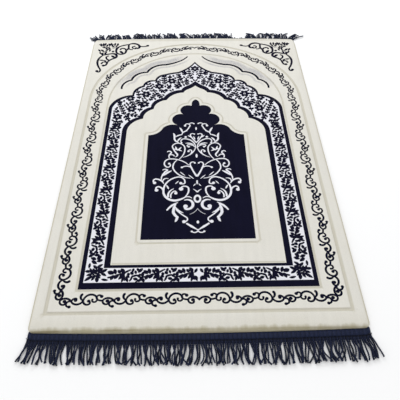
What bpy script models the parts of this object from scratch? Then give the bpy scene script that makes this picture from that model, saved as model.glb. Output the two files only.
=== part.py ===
"""A plush prayer rug lying flat: a padded mat with pressed lines, and a fringed tape on each end.

Metres, +Z up. The origin is on the underside, at the middle of the mat. The near end is at -Y.
"""

import math
import random

import bmesh
import bpy
from mathutils.geometry import delaunay_2d_cdt, intersect_line_line_2d

MM = 0.001

# The mat
WIDTH = 800 * MM
LENGTH = 1200 * MM
THICKNESS = 12 * MM
EDGE_WALL = 3 * MM  # upright part of the edge, under the roll
SIDE_ROLL = 15 * MM  # how far the rolled edge reaches in from a side
END_ROLL = 22 * MM  # and from an end, where the tape pulls it down
END_BOW = 6 * MM  # each end stands out this much more at its middle than at its corners
CORNER_RADIUS = 14 * MM
ROLL_INNER_RADIUS = 6 * MM
ROLL_STEPS = (0.0, 0.07, 0.22, 0.45, 0.72, 1.0)  # shares of the roll's reach
SIDE_SEGMENTS = 12
END_SEGMENTS = 16
CORNER_SEGMENTS = 5

# Lines pressed into the pile
OUTER_LINE = {"half_width": 361 * MM, "foot": -552 * MM, "spring": 250 * MM, "rise": 322 * MM}
INNER_LINE = {"half_width": 300 * MM, "foot": -490 * MM, "spring": 218 * MM, "rise": 290 * MM}
OUTER_LINE_WIDTH = 8 * MM
INNER_LINE_WIDTH = 5 * MM
NICHE_LINE_WIDTH = 5 * MM
LINE_DEPTH = 1.4 * MM
ARCH_SEGMENTS = 36
MERGE_DISTANCE = 0.0001 * MM

# The niche's silhouette, right half, from its foot to its tip. Each row starts a run to the next
# row's point, bowed sideways by its bulge: the run's rise over its length, positive to the right.
NICHE_ROWS_MM = (
    # x, y, bulge, segments
    (154.0, -346.0, 0.0, 1),
    (154.0, 56.0, 0.16, 5),
    (108.0, 90.0, -0.17, 5),
    (61.0, 103.0, -0.42, 7),
    (44.0, 158.0, -0.36, 7),
    (14.0, 200.0, 0.0, 1),
    (13.0, 216.0, -0.12, 3),
    (0.0, 234.0, 0.0, 1),
)
NICHE_LINE_STAND_OFF = 10 * MM  # the pressed line runs this far outside the niche
NOTCH_TURN = 0.5  # sine of the turn from which a corner that points in counts as a notch
LEAST_MITRE = 0.5  # keeps a sharp corner's mitre from growing past twice the distance
LOOP_REACH = 16  # points in which a line moved out of a notch may cross itself

# The fringed tapes
PIECE_GAP = 0.3 * MM
TAPE_HALF_LENGTH = 396 * MM
BAND_DEPTH = 14 * MM  # the ribbed band next to the mat
BAND_THICKNESS = 4 * MM
BAND_STEP = 0.6 * MM
TAPE_DEPTH = 24 * MM  # the band and the flat heading that holds the strands
HEADING_THICKNESS = 3 * MM
CELLS = 15
STRANDS_PER_CELL = 10
STRAND_WIDTH = 3.4 * MM
STRAND_SEGMENTS = 4
STRAND_TOP_SHARE = 0.72  # the top of a strand is narrower than its foot
STRAND_TIP_WIDTH_SHARE = 0.78
STRAND_TIP_HEIGHT_SHARE = 0.75
LEAN_POWER = 1.3  # a strand leans more towards its tip
FAN_START = 330 * MM  # past this the strands spread outwards
FAN_POWER = 1.5

NEAR_FRINGE = {
    "end": -1,
    "length": 46 * MM,
    "length_spread": 4 * MM,
    "fan_left": 16 * MM,
    "fan_right": 16 * MM,
    "sway": ((5.0 * MM, 190 * MM, 0.6), (1.3 * MM, 66 * MM, 2.1)),
    "curl": (1.6 * MM, 120 * MM, 0.9),
    "seed": 11,
}
FAR_FRINGE = {
    "end": 1,
    "length": 40 * MM,
    "length_spread": 7 * MM,
    "fan_left": 18 * MM,
    "fan_right": 30 * MM,
    "sway": ((11.0 * MM, 430 * MM, 1.9), (2.0 * MM, 118 * MM, 0.4)),
    "curl": (2.2 * MM, 150 * MM, 3.0),
    "seed": 23,
}

TAPE_PROFILE = (
    # distance out from the mat's end, height
    (TAPE_DEPTH, HEADING_THICKNESS),
    (BAND_DEPTH + BAND_STEP, HEADING_THICKNESS),
    (BAND_DEPTH, BAND_THICKNESS),
    (PIECE_GAP, BAND_THICKNESS),
    (PIECE_GAP, 0.0),
    (TAPE_DEPTH, 0.0),
)

CREAM = (0.83, 0.81, 0.74, 1.0)
NAVY = (0.022, 0.028, 0.062, 1.0)
PILE_ROUGHNESS = 0.95
YARN_ROUGHNESS = 0.9
SMOOTH_ANGLE = math.radians(35)


def clear_scene():
    for thing in list(bpy.data.objects):
        bpy.data.objects.remove(thing, do_unlink=True)


def plain_material(name, colour, roughness):
    material = bpy.data.materials.new(name)
    material.use_nodes = True
    shader = material.node_tree.nodes["Principled BSDF"]
    shader.inputs["Base Color"].default_value = colour
    shader.inputs["Roughness"].default_value = roughness
    shader.inputs["Metallic"].default_value = 0.0
    return material


def add_object(name, mesh_builder, material):
    """Turn a finished bmesh into one named object with its normals facing out."""
    bmesh.ops.recalc_face_normals(mesh_builder, faces=mesh_builder.faces)
    mesh = bpy.data.meshes.new(name)
    mesh_builder.to_mesh(mesh)
    mesh_builder.free()
    thing = bpy.data.objects.new(name, mesh)
    thing.data.materials.append(material)
    bpy.context.scene.collection.objects.link(thing)
    mesh.shade_smooth()
    mesh.set_sharp_from_angle(angle=SMOOTH_ANGLE)
    return thing


def end_reach(x):
    """How far an end of the mat lies from the origin at a place across it."""
    reach = LENGTH / 2 + END_BOW * (0.5 - (2 * x / WIDTH) ** 2)
    into_corner = abs(x) - (WIDTH / 2 - CORNER_RADIUS)
    if into_corner > 0:
        reach -= CORNER_RADIUS - math.sqrt(max(CORNER_RADIUS**2 - into_corner**2, 0.0))
    return reach


def spaced(low, high, segments):
    return [low + (high - low) * i / segments for i in range(segments + 1)]


def mat_outline(half_width, corner_radius, inset):
    """The mat's closed outline, anticlockwise from the near end's middle, as (x, y) points.

    Every call gives the same number of points, so outlines can be joined point by point.
    """
    straight = half_width - corner_radius
    scale = (WIDTH / 2 - CORNER_RADIUS) / straight

    def end_y(x):
        return end_reach(x * scale) - inset

    corner_y = end_y(straight)
    rounding = [
        (
            straight + corner_radius * math.sin(math.pi / 2 * i / CORNER_SEGMENTS),
            corner_y - corner_radius + corner_radius * math.cos(math.pi / 2 * i / CORNER_SEGMENTS),
        )
        for i in range(1, CORNER_SEGMENTS + 1)
    ]
    half_end = [(x, end_y(x)) for x in spaced(0.0, straight, END_SEGMENTS // 2)]
    quarter = half_end + rounding
    side_top = quarter[-1][1]
    side = [(half_width, y) for y in spaced(-side_top, side_top, SIDE_SEGMENTS)[1:-1]]
    right = [(x, -y) for x, y in quarter] + side + [(x, y) for x, y in reversed(quarter)]
    left = [(-x, y) for x, y in reversed(right[1:-1])]
    return right + left


def arched_line(half_width, foot, spring, rise):
    """A closed line with a square foot, straight sides and a half-ellipse over them."""
    arch = [
        (half_width * math.cos(a), spring + rise * math.sin(a))
        for a in spaced(0.0, math.pi, ARCH_SEGMENTS)
    ]
    return [(-half_width, foot), (half_width, foot)] + arch


def bowed_run(start, end, bulge, segments):
    """Points of an arc from start up to, but not including, end."""
    dx = end[0] - start[0]
    dy = end[1] - start[1]
    if bulge == 0.0:
        return [(start[0] + dx * i / segments, start[1] + dy * i / segments) for i in range(segments)]
    half_angle = 2 * math.atan(2 * bulge)
    radius_share = 0.5 / math.sin(half_angle)
    points = []
    for i in range(segments):
        turn = half_angle * (2 * i / segments - 1)
        along = 0.5 + radius_share * math.sin(turn)
        side = radius_share * (math.cos(turn) - math.cos(half_angle))
        points.append((start[0] + dx * along + dy * side, start[1] + dy * along - dx * side))
    return points


def niche_silhouette():
    """The niche's closed outline, anticlockwise from its near right corner."""
    rows = [(x * MM, y * MM, bulge, segments) for x, y, bulge, segments in NICHE_ROWS_MM]
    right = []
    for row, after in zip(rows, rows[1:]):
        right += bowed_run(row[:2], after[:2], -row[2], row[3])
    tip = rows[-1][:2]
    return right + [tip] + [(-x, y) for x, y in reversed(right)]


def moved_out(line, distance):
    """A closed anticlockwise line moved outwards by a distance, with mitred corners.

    At a notch both sides run on past each other, and without_loops cuts off what crosses.
    """
    moved = []
    count = len(line)
    for i, (x, y) in enumerate(line):
        before = line[i - 1]
        after = line[(i + 1) % count]
        in_x, in_y = unit(x - before[0], y - before[1])
        out_x, out_y = unit(after[0] - x, after[1] - y)
        if distance > 0 and in_x * out_y - in_y * out_x < -NOTCH_TURN:
            moved.append((x + in_y * distance, y - in_x * distance))
            moved.append((x + out_y * distance, y - out_x * distance))
            continue
        mitre_x, mitre_y = unit(in_y + out_y, -in_x - out_x)
        reach = distance / max(mitre_x * in_y - mitre_y * in_x, LEAST_MITRE)
        moved.append((x + mitre_x * reach, y + mitre_y * reach))
    return moved


def unit(x, y):
    size = math.hypot(x, y)
    return x / size, y / size


def without_loops(line):
    """A line with the small loops cut off where it crosses itself."""
    kept = list(line)
    i = 0
    while i < len(kept) - 3:
        for j in range(min(i + LOOP_REACH, len(kept) - 2), i + 1, -1):
            crossing = intersect_line_line_2d(kept[i], kept[i + 1], kept[j], kept[j + 1])
            if crossing:
                kept[i + 1 : j + 1] = [tuple(crossing)]
                break
        i += 1
    return kept


def pressed_lines():
    """Each pressed line as (the closed line that it follows, how far outside it, its width)."""
    return (
        (arched_line(**OUTER_LINE), 0.0, OUTER_LINE_WIDTH),
        (arched_line(**INNER_LINE), 0.0, INNER_LINE_WIDTH),
        (niche_silhouette(), NICHE_LINE_STAND_OFF, NICHE_LINE_WIDTH),
    )


def top_face(outline):
    """The pressed top as (points with heights, triangles). The outline's points come first."""
    points = [(x, y) for x, y in outline]
    heights = [THICKNESS] * len(points)
    edges = []
    for followed, stand_off, width in pressed_lines():
        for distance, height in (
            (-width / 2, THICKNESS),
            (0.0, THICKNESS - LINE_DEPTH),
            (width / 2, THICKNESS),
        ):
            line = without_loops(moved_out(followed, stand_off + distance))
            first = len(points)
            points += line
            heights += [height] * len(line)
            edges += [(first + i, first + (i + 1) % len(line)) for i in range(len(line))]
    boundary = list(range(len(outline)))
    inside_only = 1
    plan, _, faces, sources, _, _ = delaunay_2d_cdt(
        points, edges, [boundary], inside_only, MERGE_DISTANCE
    )
    placed = [(p.x, p.y, heights[source[0]]) for p, source in zip(plan, sources)]
    return placed, faces, [source[0] for source in sources]


def build_mat():
    """The padded mat: flat below, with a short wall, rolled edges and the pressed top."""
    outer = mat_outline(WIDTH / 2, CORNER_RADIUS, 0.0)
    inner = mat_outline(WIDTH / 2 - SIDE_ROLL, ROLL_INNER_RADIUS, END_ROLL)
    shape = bmesh.new()
    rings = [[shape.verts.new((x, y, 0.0)) for x, y in outer]]
    for share in ROLL_STEPS:
        height = EDGE_WALL + (THICKNESS - EDGE_WALL) * math.sqrt(1 - (1 - share) ** 2)
        rings.append(
            [
                shape.verts.new((a + (c - a) * share, b + (d - b) * share, height))
                for (a, b), (c, d) in zip(outer, inner)
            ]
        )
    count = len(outer)
    for low, high in zip(rings, rings[1:]):
        for i in range(count):
            j = (i + 1) % count
            shape.faces.new((low[i], low[j], high[j], high[i]))
    shape.faces.new(list(reversed(rings[0])))
    placed, faces, sources = top_face(inner)
    top = [
        rings[-1][source] if source < count else shape.verts.new(point)
        for point, source in zip(placed, sources)
    ]
    for face in faces:
        shape.faces.new([top[i] for i in face])
    return add_object("rug_body", shape, plain_material("cream_pile", CREAM, PILE_ROUGHNESS))


def wave(x, size, length, phase):
    return size * math.sin(2 * math.pi * x / length + phase)


def strand_stations(root_x, plan, length):
    """The middle of a strand, root to tip, as (x, distance out from the mat's end)."""
    past_fan = max(abs(root_x) - FAN_START, 0.0) / (TAPE_HALF_LENGTH - FAN_START)
    fan = plan["fan_right"] if root_x > 0 else -plan["fan_left"]
    stations = []
    for i in range(STRAND_SEGMENTS + 1):
        out = length * i / STRAND_SEGMENTS
        share = out / plan["length"]
        lean = sum(wave(root_x, *row) for row in plan["sway"]) * share**LEAN_POWER
        curl = wave(root_x, *plan["curl"]) * math.sin(math.pi * share)
        spread = fan * past_fan**FAN_POWER * share
        stations.append((root_x + lean + curl + spread, TAPE_DEPTH + out))
    return stations


def tape_cells():
    """The tape's cells, each as its places across the mat, with extra ones where it turns."""
    borders = spaced(-TAPE_HALF_LENGTH, TAPE_HALF_LENGTH, CELLS)
    rounds = [
        WIDTH / 2 - CORNER_RADIUS + CORNER_RADIUS * math.sin(a)
        for a in spaced(0.0, math.pi / 2, CORNER_SEGMENTS)
    ]
    cells = []
    for low, high in zip(borders, borders[1:]):
        extra = [x for x in [-r for r in reversed(rounds)] + rounds if low < x < high]
        cells.append([low] + extra + [high])
    return cells


def point_maker(shape, end):
    """A function that gives the tape's point at a place, and the same one each time."""
    made = {}

    def point(x, out, height):
        key = (round(x, 7), out, height)
        if key not in made:
            made[key] = shape.verts.new((x, end * (end_reach(x) + out), height))
        return made[key]

    return point


def strand_roots(cell):
    """Where a cell's strands leave the heading."""
    pitch = (cell[-1] - cell[0]) / STRANDS_PER_CELL
    return [cell[0] + pitch * (number + 0.5) for number in range(STRANDS_PER_CELL)]


def front_marks(cell):
    """The places across a cell where its gaps and strands begin and end."""
    sides = [x + side * STRAND_WIDTH / 2 for x in strand_roots(cell) for side in (-1, 1)]
    return [cell[0]] + sides + [cell[-1]]


def front_corners(point, low, high):
    """The four points of the heading's front between two places across it."""
    return [
        point(low, TAPE_DEPTH, 0.0),
        point(high, TAPE_DEPTH, 0.0),
        point(high, TAPE_DEPTH, HEADING_THICKNESS),
        point(low, TAPE_DEPTH, HEADING_THICKNESS),
    ]


def add_tape_cell(shape, point, cell):
    """One cell of the tape, with its front left open where the strands grow out."""
    marks = front_marks(cell)
    for (out_a, height_a), (out_b, height_b) in zip(TAPE_PROFILE, TAPE_PROFILE[1:]):
        if TAPE_DEPTH in (out_a, out_b):
            one = [point(x, out_a, height_a) for x in (marks if out_a == TAPE_DEPTH else cell)]
            two = [point(x, out_b, height_b) for x in (marks if out_b == TAPE_DEPTH else cell)]
            shape.faces.new(one + two[::-1])
            continue
        for low, high in zip(cell, cell[1:]):
            one = [point(x, out_a, height_a) for x in (low, high)]
            two = [point(x, out_b, height_b) for x in (high, low)]
            shape.faces.new(one + two)
    for low, high in zip(marks[::2], marks[1::2]):
        shape.faces.new(front_corners(point, low, high))


def add_strand(shape, base, stations, end, reach):
    """Grow one strand from its four root points. Its foot stays level on the floor."""
    ring = base
    for i, (x, out) in enumerate(stations[1:], start=1):
        share = i / STRAND_SEGMENTS
        half = STRAND_WIDTH / 2 * (1 + (STRAND_TIP_WIDTH_SHARE - 1) * share)
        height = HEADING_THICKNESS * (1 + (STRAND_TIP_HEIGHT_SHARE - 1) * share)
        y = end * (reach + out)
        after = [
            shape.verts.new((x - half, y, 0.0)),
            shape.verts.new((x + half, y, 0.0)),
            shape.verts.new((x + half * STRAND_TOP_SHARE, y, height)),
            shape.verts.new((x - half * STRAND_TOP_SHARE, y, height)),
        ]
        for k in range(4):
            m = (k + 1) % 4
            shape.faces.new((ring[k], ring[m], after[m], after[k]))
        ring = after
    shape.faces.new(ring)


def build_fringe(name, plan):
    """A tape with its strands, one closed body: the strands grow out of the heading's front."""
    shape = bmesh.new()
    point = point_maker(shape, plan["end"])
    chance = random.Random(plan["seed"])
    cells = tape_cells()
    for cell in cells:
        add_tape_cell(shape, point, cell)
        for x in strand_roots(cell):
            length = plan["length"] + chance.uniform(-1, 1) * plan["length_spread"]
            base = front_corners(point, x - STRAND_WIDTH / 2, x + STRAND_WIDTH / 2)
            add_strand(shape, base, strand_stations(x, plan, length), plan["end"], end_reach(x))
    for border in (cells[0][0], cells[-1][-1]):
        shape.faces.new([point(border, out, height) for out, height in TAPE_PROFILE])
    return add_object(name, shape, plain_material(name + "_yarn", NAVY, YARN_ROUGHNESS))


def main():
    clear_scene()
    build_mat()
    build_fringe("fringe_near", NEAR_FRINGE)
    build_fringe("fringe_far", FAR_FRINGE)


main()
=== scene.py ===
"""The looks of a plush prayer rug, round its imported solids: the patterned pile and the two fringes.

The pattern is drawn with the script's own strokes in short tables. Its left half is mirrored.
"""

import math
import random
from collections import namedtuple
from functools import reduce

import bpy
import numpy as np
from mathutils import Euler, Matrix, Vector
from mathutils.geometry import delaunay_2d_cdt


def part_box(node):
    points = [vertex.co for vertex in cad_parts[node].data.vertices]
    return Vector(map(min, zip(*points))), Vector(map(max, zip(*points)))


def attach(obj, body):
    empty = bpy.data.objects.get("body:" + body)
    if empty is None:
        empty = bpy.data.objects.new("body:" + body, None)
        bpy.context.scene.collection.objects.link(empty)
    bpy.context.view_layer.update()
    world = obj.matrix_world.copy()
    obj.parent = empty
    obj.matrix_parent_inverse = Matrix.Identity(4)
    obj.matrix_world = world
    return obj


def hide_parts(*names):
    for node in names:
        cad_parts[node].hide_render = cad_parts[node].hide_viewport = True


bl_info = {
    "name": "Plush Prayer Rug",
    "version": (1, 0, 0),
    "blender": (4, 5, 0),
    "location": "3D View > Sidebar > Rug",
    "description": "Builds a patterned plush rug with a fringed tape along each end",
    "category": "Object",
}

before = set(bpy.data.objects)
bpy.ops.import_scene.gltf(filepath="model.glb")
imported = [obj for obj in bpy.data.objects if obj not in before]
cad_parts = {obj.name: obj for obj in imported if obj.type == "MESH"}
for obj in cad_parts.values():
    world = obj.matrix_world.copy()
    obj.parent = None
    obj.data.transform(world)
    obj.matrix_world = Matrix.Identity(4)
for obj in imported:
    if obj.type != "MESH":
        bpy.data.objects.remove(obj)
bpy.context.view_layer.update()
_, MAT_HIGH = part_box("rug_body")

MM = 0.001

# The mat, in millimetres. The solid gives its outer sizes.
END_BOW = 6.0  # each end stands out this much more at its middle than at its corners
HALF_WIDTH = MAT_HIGH.x / MM
HALF_LENGTH = MAT_HIGH.y / MM - END_BOW / 2
THICKNESS = MAT_HIGH.z / MM
SINK = 0.5  # the pile's flat lies this far below the solid's top
CORNER_RADIUS = 14.0
EDGE_WALL = 3.0  # upright part of the edge
SIDE_ROLL = 15.0  # how far in the edge rolls over, here and at each end
NEAR_ROLL = 18.0
FAR_ROLL = 6.0
FAR_OVERHANG = 17.0  # how far the pile swells out over the far tape
FAR_SWELL = 2.5  # and how much it stands up there
NEAR_INSET = 3.0  # the near tape laps this far over the mat's end
ROLL_INNER_RADIUS = 6.0
ROLL_STEPS = (0.0, 0.03, 0.09, 0.18, 0.3, 0.45, 0.63, 0.82, 1.0)  # shares of the way in
LIP = 1.8  # how wide a pressed line's slope is on each side
NORMAL_STEP = 0.4  # how far to each side the relief's slope is taken

# The mesh's points
END_STEPS = 52  # along half an end
SIDE_STEPS = 150
CORNER_STEPS = 8
GRID_PITCH = 8.0  # of the free points on top
GRID_REACH = (384.0, 586.0)
CLEAR_OF_PATTERN = 3.0  # they keep this far from the pattern's own points
UNDER_PITCH = 40.0
UNDER_REACH = (380.0, 580.0)
ROWS_PER_LINE = 7  # rows of points along a pressed line: its middle and three on each side
ROW_PITCH = 3.5

# The tape's places, in millimetres out from the mat's end
PIECE_GAP = 0.3
TAPE_HALF_LENGTH = 396.0
BAND_DEPTH = 13.0
HEADING_DEPTH = 22.0
RIBS = 226  # along each tape
RIB_TONE = 0.4  # the ribs' tone over the loose strands'
RIB_TONE_SPREAD = 0.35
CHAIN_LEAN = 0.16  # each chain stitch's tilt, in radians, so that it starts inside the one before

# The finishes. A tint is how far the pile takes another tone; every tint here but the patches' is
# painted shade.
PILE_ROUGHNESS = 0.95
TUFT_HEIGHT = 0.0012  # of the bump, in metres
TUFT_STRENGTH = 0.6
PATCH_TINT = 0.10  # in the soft patches
PRESSED_SHADE_TINT = 0.46  # painted shade in the pressed lines
CREASE_SHADE_TINT = 0.75  # painted shade in the fold just inside the near end
CREASE_SHADE_COLOUR = (0.24, 0.20, 0.11, 1.0)
NEAR_SLOPE_SHADE_TINT = 0.16  # painted shade over the slow slope to the near end
NEAR_SLOPE_REACH = 0.05  # metres
NEAR_SHADE_LEAN = 0.0035  # how much further in the painted near shade reaches on the left, in metres
FAR_SHADE_TINT = 0.3  # painted shade at the far end's rim

# The studio, in metres
FLOOR_HALF = 6.0
FLOOR_DROP = 0.0002  # the floor lies this far below the rug
STUDIO_STRENGTH = 0.88
SOFTBOX_SIZE = (2.4, 1.4)
SOFTBOX_PLACE = (-0.7, 2.4, 2.0)
SOFTBOX_TURN = (math.radians(-48), 0, math.radians(16))
SOFTBOX_POWER = 38
SOFTBOX_COLOUR = (0.93, 0.96, 1.0)

# The tables' rows, in millimetres and degrees. A row may leave out a last number that is 0: a curl's
# ball, a leaf's bend, or the bulge of an outline's run, which is then straight.
Curl = namedtuple("Curl", "x y to_x to_y turn tighten root middle tip ball", defaults=(0,))
Leaf = namedtuple("Leaf", "x y to_x to_y width bend", defaults=(0,))
Sprig = namedtuple("Sprig", "x y heading length turn pairs leaf_length leaf_width")
Flower = namedtuple("Flower", "x y radius turn")
Drop = namedtuple("Drop", "x y radius")
Row = namedtuple("Row", "x y bulge segments", defaults=(0, 1))
Line = namedtuple("Line", "width depth stand_off")
Ring = namedtuple("Ring", "y outside inside")

# ---------------------------------------------------------------- tables, in millimetres
PAINTS = ("cream", "ground", "navy", "backing")

# Outlines, left half from foot to tip. A run bows outwards by its bulge, a share of its length.
FRAME_OUTSIDE = (
    Row(-298, -489), Row(-296, 192, 0.18, 9), Row(-221, 261, 0.17, 6), Row(-187, 313, 0.24, 6),
    Row(-145, 343, 0.17, 6), Row(-112, 379, 0.03, 3), Row(-62, 393, -0.07, 5), Row(0, 456),
)
FRAME_INSIDE = (
    Row(-287, -471), Row(-284, 192, 0.165, 9), Row(-214.5, 253, 0.17, 6), Row(-180.5, 305.5, 0.24, 6),
    Row(-138.5, 335.5, 0.17, 6), Row(-108, 371, 0.03, 3), Row(-58.5, 384, -0.07, 5), Row(0, 445.5),
)
ARCH_OUTSIDE = (
    Row(-241, -430), Row(-241, 72, 0.17, 8), Row(-189, 145, 0.18, 6), Row(-153, 195, 0.2, 6),
    Row(-112, 242, 0.15, 7), Row(-50, 287, 0.09, 3), Row(-30, 310, -0.06, 4), Row(0, 338),
)
ARCH_INSIDE = (
    Row(-225, -421.5), Row(-225, 78, 0.165, 8), Row(-176, 136, 0.17, 6), Row(-143, 185, 0.19, 6),
    Row(-100, 232, 0.145, 7), Row(-42, 272, 0.1, 3), Row(-23, 292, -0.05, 4), Row(0, 311),
)
NICHE = (
    Row(-154, -346), Row(-154, 56, -0.16, 6), Row(-108, 90, 0.17, 6), Row(-61, 103, 0.46, 12),
    Row(-44, 158, 0.44, 12), Row(-14, 200), Row(-13, 216, 0.12, 4), Row(0, 234),
)
CRESCENT = (
    Row(-262, 296, 0.18, 6), Row(-230, 346, 0.19, 7), Row(-176, 392, 0.17, 7), Row(-110, 438, -0.04, 4),
    Row(-63, 457, -0.07, 4), Row(-28, 490),
)

# Lines pressed into the pile: round the outer border, round the frame, and outside the niche
ARCHED_LINES = (
    # half width, foot, spring, rise, width, depth
    (366.0, -551.0, 246.0, 326.0, 8.5, 1.9),
    (301.5, -492.5, 218.0, 290.0, 5.5, 1.5),
)
ARCH_SEGMENTS = 60
NICHE_LINE = Line(4.6, 1.4, 11.0)
FOOT_LINE = Line(3.6, 1.2, 0.0)
FOOT_LINE_ENDS = ((-221.0, -418.0), (221.0, -418.0))

# The pressed dots beside the crescent, a bump with painted shade: their strength across it (outside is
# +) and along it
STIPPLE_ACROSS = {
    "offset": (-22, -18, -13, -9.5, 5, 8.5, 22, 32), "strength": (0, 0.9, 0.9, 0, 0, 1, 1, 0),
}
STIPPLE_ALONG = {"share": (0, 0.1, 0.22, 0.85, 1), "strength": (0, 0.45, 1, 1, 0)}
STIPPLE_PITCH = 6.0

# One period of the scroll border: x runs towards the rug's middle, y along the border
SCROLL_PERIOD = 98.5
SCROLL = (
    Curl(0, 0, 2.5, 32, 168, 1.15, 2.8, 3.4, 2.8),
    Curl(2.5, 32, 2.6, 20.8, 190, 1.3, 2.8, 2.8, 2.8, 2.3),
    Curl(0, 0, -9.5, 14, -115, 1.2, 2.8, 3.2, 3), Curl(-9.5, 14, -1, 12.8, -140, 1, 3, 2.8, 2.8, 3.2),
    Curl(0.5, -0.5, 17, -4, 105, 1.2, 2.4, 3.4, 4, 2), Curl(2.5, 32, 0, 45, -35, 1, 2.6, 3, 3),
    Curl(2.5, 32.5, 10.8, 41.5, 205, 1.1, 2.6, 3, 2.8, 3.3),
    Curl(0, 45, -1.8, 71.5, 125, 0.75, 2.8, 3.4, 3), Curl(0, 45, -10, 54.5, -105, 1.1, 2.8, 3, 3),
    Curl(-10, 54.5, -1.4, 56, -150, 1, 3, 2.8, 2.8, 3.6),
    Curl(-1.9, 71, -15.5, 68.5, -215, 1, 2.8, 3, 2.8, 3.1),
    Curl(-1.8, 71.5, 0, 98.5, -130, 1, 2.8, 3.4, 2.8), Curl(-1.8, 71.5, 6.5, 80, 75, 1, 2.8, 3, 2.8),
    Curl(6.5, 80, 1.4, 81, 170, 1, 2.8, 2.8, 2.8, 3.3),
)
SCROLL_BEFORE_CORNER = SCROLL[7:]  # what the run has between the corner and its first period
SCROLL_AT_MIDDLE = SCROLL[:10]  # the last period along the end stops at the rug's middle
SCROLL_AT_MIDDLE_REACH = 71.7
SCROLL_COURSE = {"side": 338.0, "foot": -530.0, "first": -461.7, "spring": 250.0, "rise": 295.0}
SCROLL_SIDE_PERIODS = 7
SCROLL_ARCH_PERIODS = 6  # these are shorter
SCROLL_END = {"y": -519.0, "period": 103.0, "stop": 1.0}

# One period of the leaf vine: x runs towards the rug's middle, y along the border
VINE_PERIOD = 86.5
VINE = (
    Curl(15, 56, 5, 39, -8, 1, 3.4, 4.8, 4.8), Curl(5, 39, -7, 0, 8, 1, 4.8, 4.8, 4.2),
    Curl(-17, 55, -5, 60, -40, 1, 3.6, 4.6, 4.6), Leaf(-10, 84, -20, 77, 6.8),
    Curl(-5, 60, -1, 73, 15, 1, 5.2, 5, 4.4), Curl(-1, 73, -9, 86, -20, 1, 4.4, 5, 4.2),
    Curl(-20.5, 70, -13, 81, 0, 1, 2.6, 4.4, 4.4), Curl(-13, 81, -7, 87, 0, 1, 5, 4.8, 4.2),
    Leaf(3, 13, 13, 2, 9), Leaf(3, 19, 18, 14.5, 8.4), Leaf(5, 31, 15, 24, 7.6),
    Leaf(6, 40, 19, 31.5, 9.6), Leaf(0, 14, -14, 8, 8.4, -15), Leaf(3, 26, -11, 16.5, 8.4),
    Leaf(5, 42, -12.5, 27, 8.4), Leaf(-1, 42, -20.5, 35, 6.8), Leaf(-5, 45, -20, 51, 6.8),
    Leaf(-9, 43, -17, 43, 4.6), Leaf(-2, 46, -7.5, 55, 6.2), Leaf(-2.5, 51.5, 7, 50.5, 7.4),
    Leaf(1, 63, 9.5, 56, 8), Leaf(8, 60, 19, 64, 6.4), Leaf(3, 70, 13, 67.5, 6),
    Leaf(-10, 64, -13.5, 76, 7.6), Leaf(7, 75, 18.5, 86.5, 8.2), Leaf(11, 77, 19, 71.5, 6.4),
    Leaf(-6, 86, 9, 87, 7.6, -10), Leaf(-9, 85, -20.5, 92, 8), Leaf(-4, 79, 4, 80, 6.6),
)
VINE_SIDE = {"middle": -263.5, "first": 128.0, "periods": 7, "low": -419.0, "high": 122.0}
VINE_END = {"middle": -450.5, "first": -228.0, "periods": 3, "low": -232.0, "high": -0.5}
VINE_CORNER = (
    Curl(-258, -447, -259, -429, -15, 1, 5, 4.6, 4), Curl(-270, -441, -261, -452, 10, 1, 4, 5, 5),
    Curl(-258, -445, -245, -441, 10, 1, 4, 5, 5), Leaf(-259, -430, -243.5, -418.5, 8.6, -20),
    Leaf(-257.5, -432, -268, -421, 9), Leaf(-258, -440, -242, -430, 11),
    Leaf(-257, -435, -246, -428.5, 7.6), Leaf(-259, -447, -268, -430, 9.4),
    Leaf(-266, -448, -276, -429, 9), Leaf(-272, -439.5, -287, -438, 9.6),
    Leaf(-267, -447, -282, -451, 8.6, 25), Leaf(-266, -451, -285.5, -466, 9.6),
    Leaf(-261, -449, -268.5, -465, 8.6, -30), Leaf(-261, -450, -245.5, -458.5, 8.6),
    Leaf(-255.5, -455, -253, -470, 11), Leaf(-259, -443, -245, -453, 7.6),
    Leaf(-248, -443, -231, -432.5, 9.8), Leaf(-248, -442, -232, -452.5, 8.6),
    Leaf(-277.5, -415, -278, -430.5, 7.4), Leaf(-243, -461, -226, -464, 7.6, 25),
    Leaf(-229, -439, -220, -449, 8.4), Leaf(-4, -435, -11, -447, 8.4), Leaf(-3, -464, -12, -455, 8.4),
)

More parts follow.
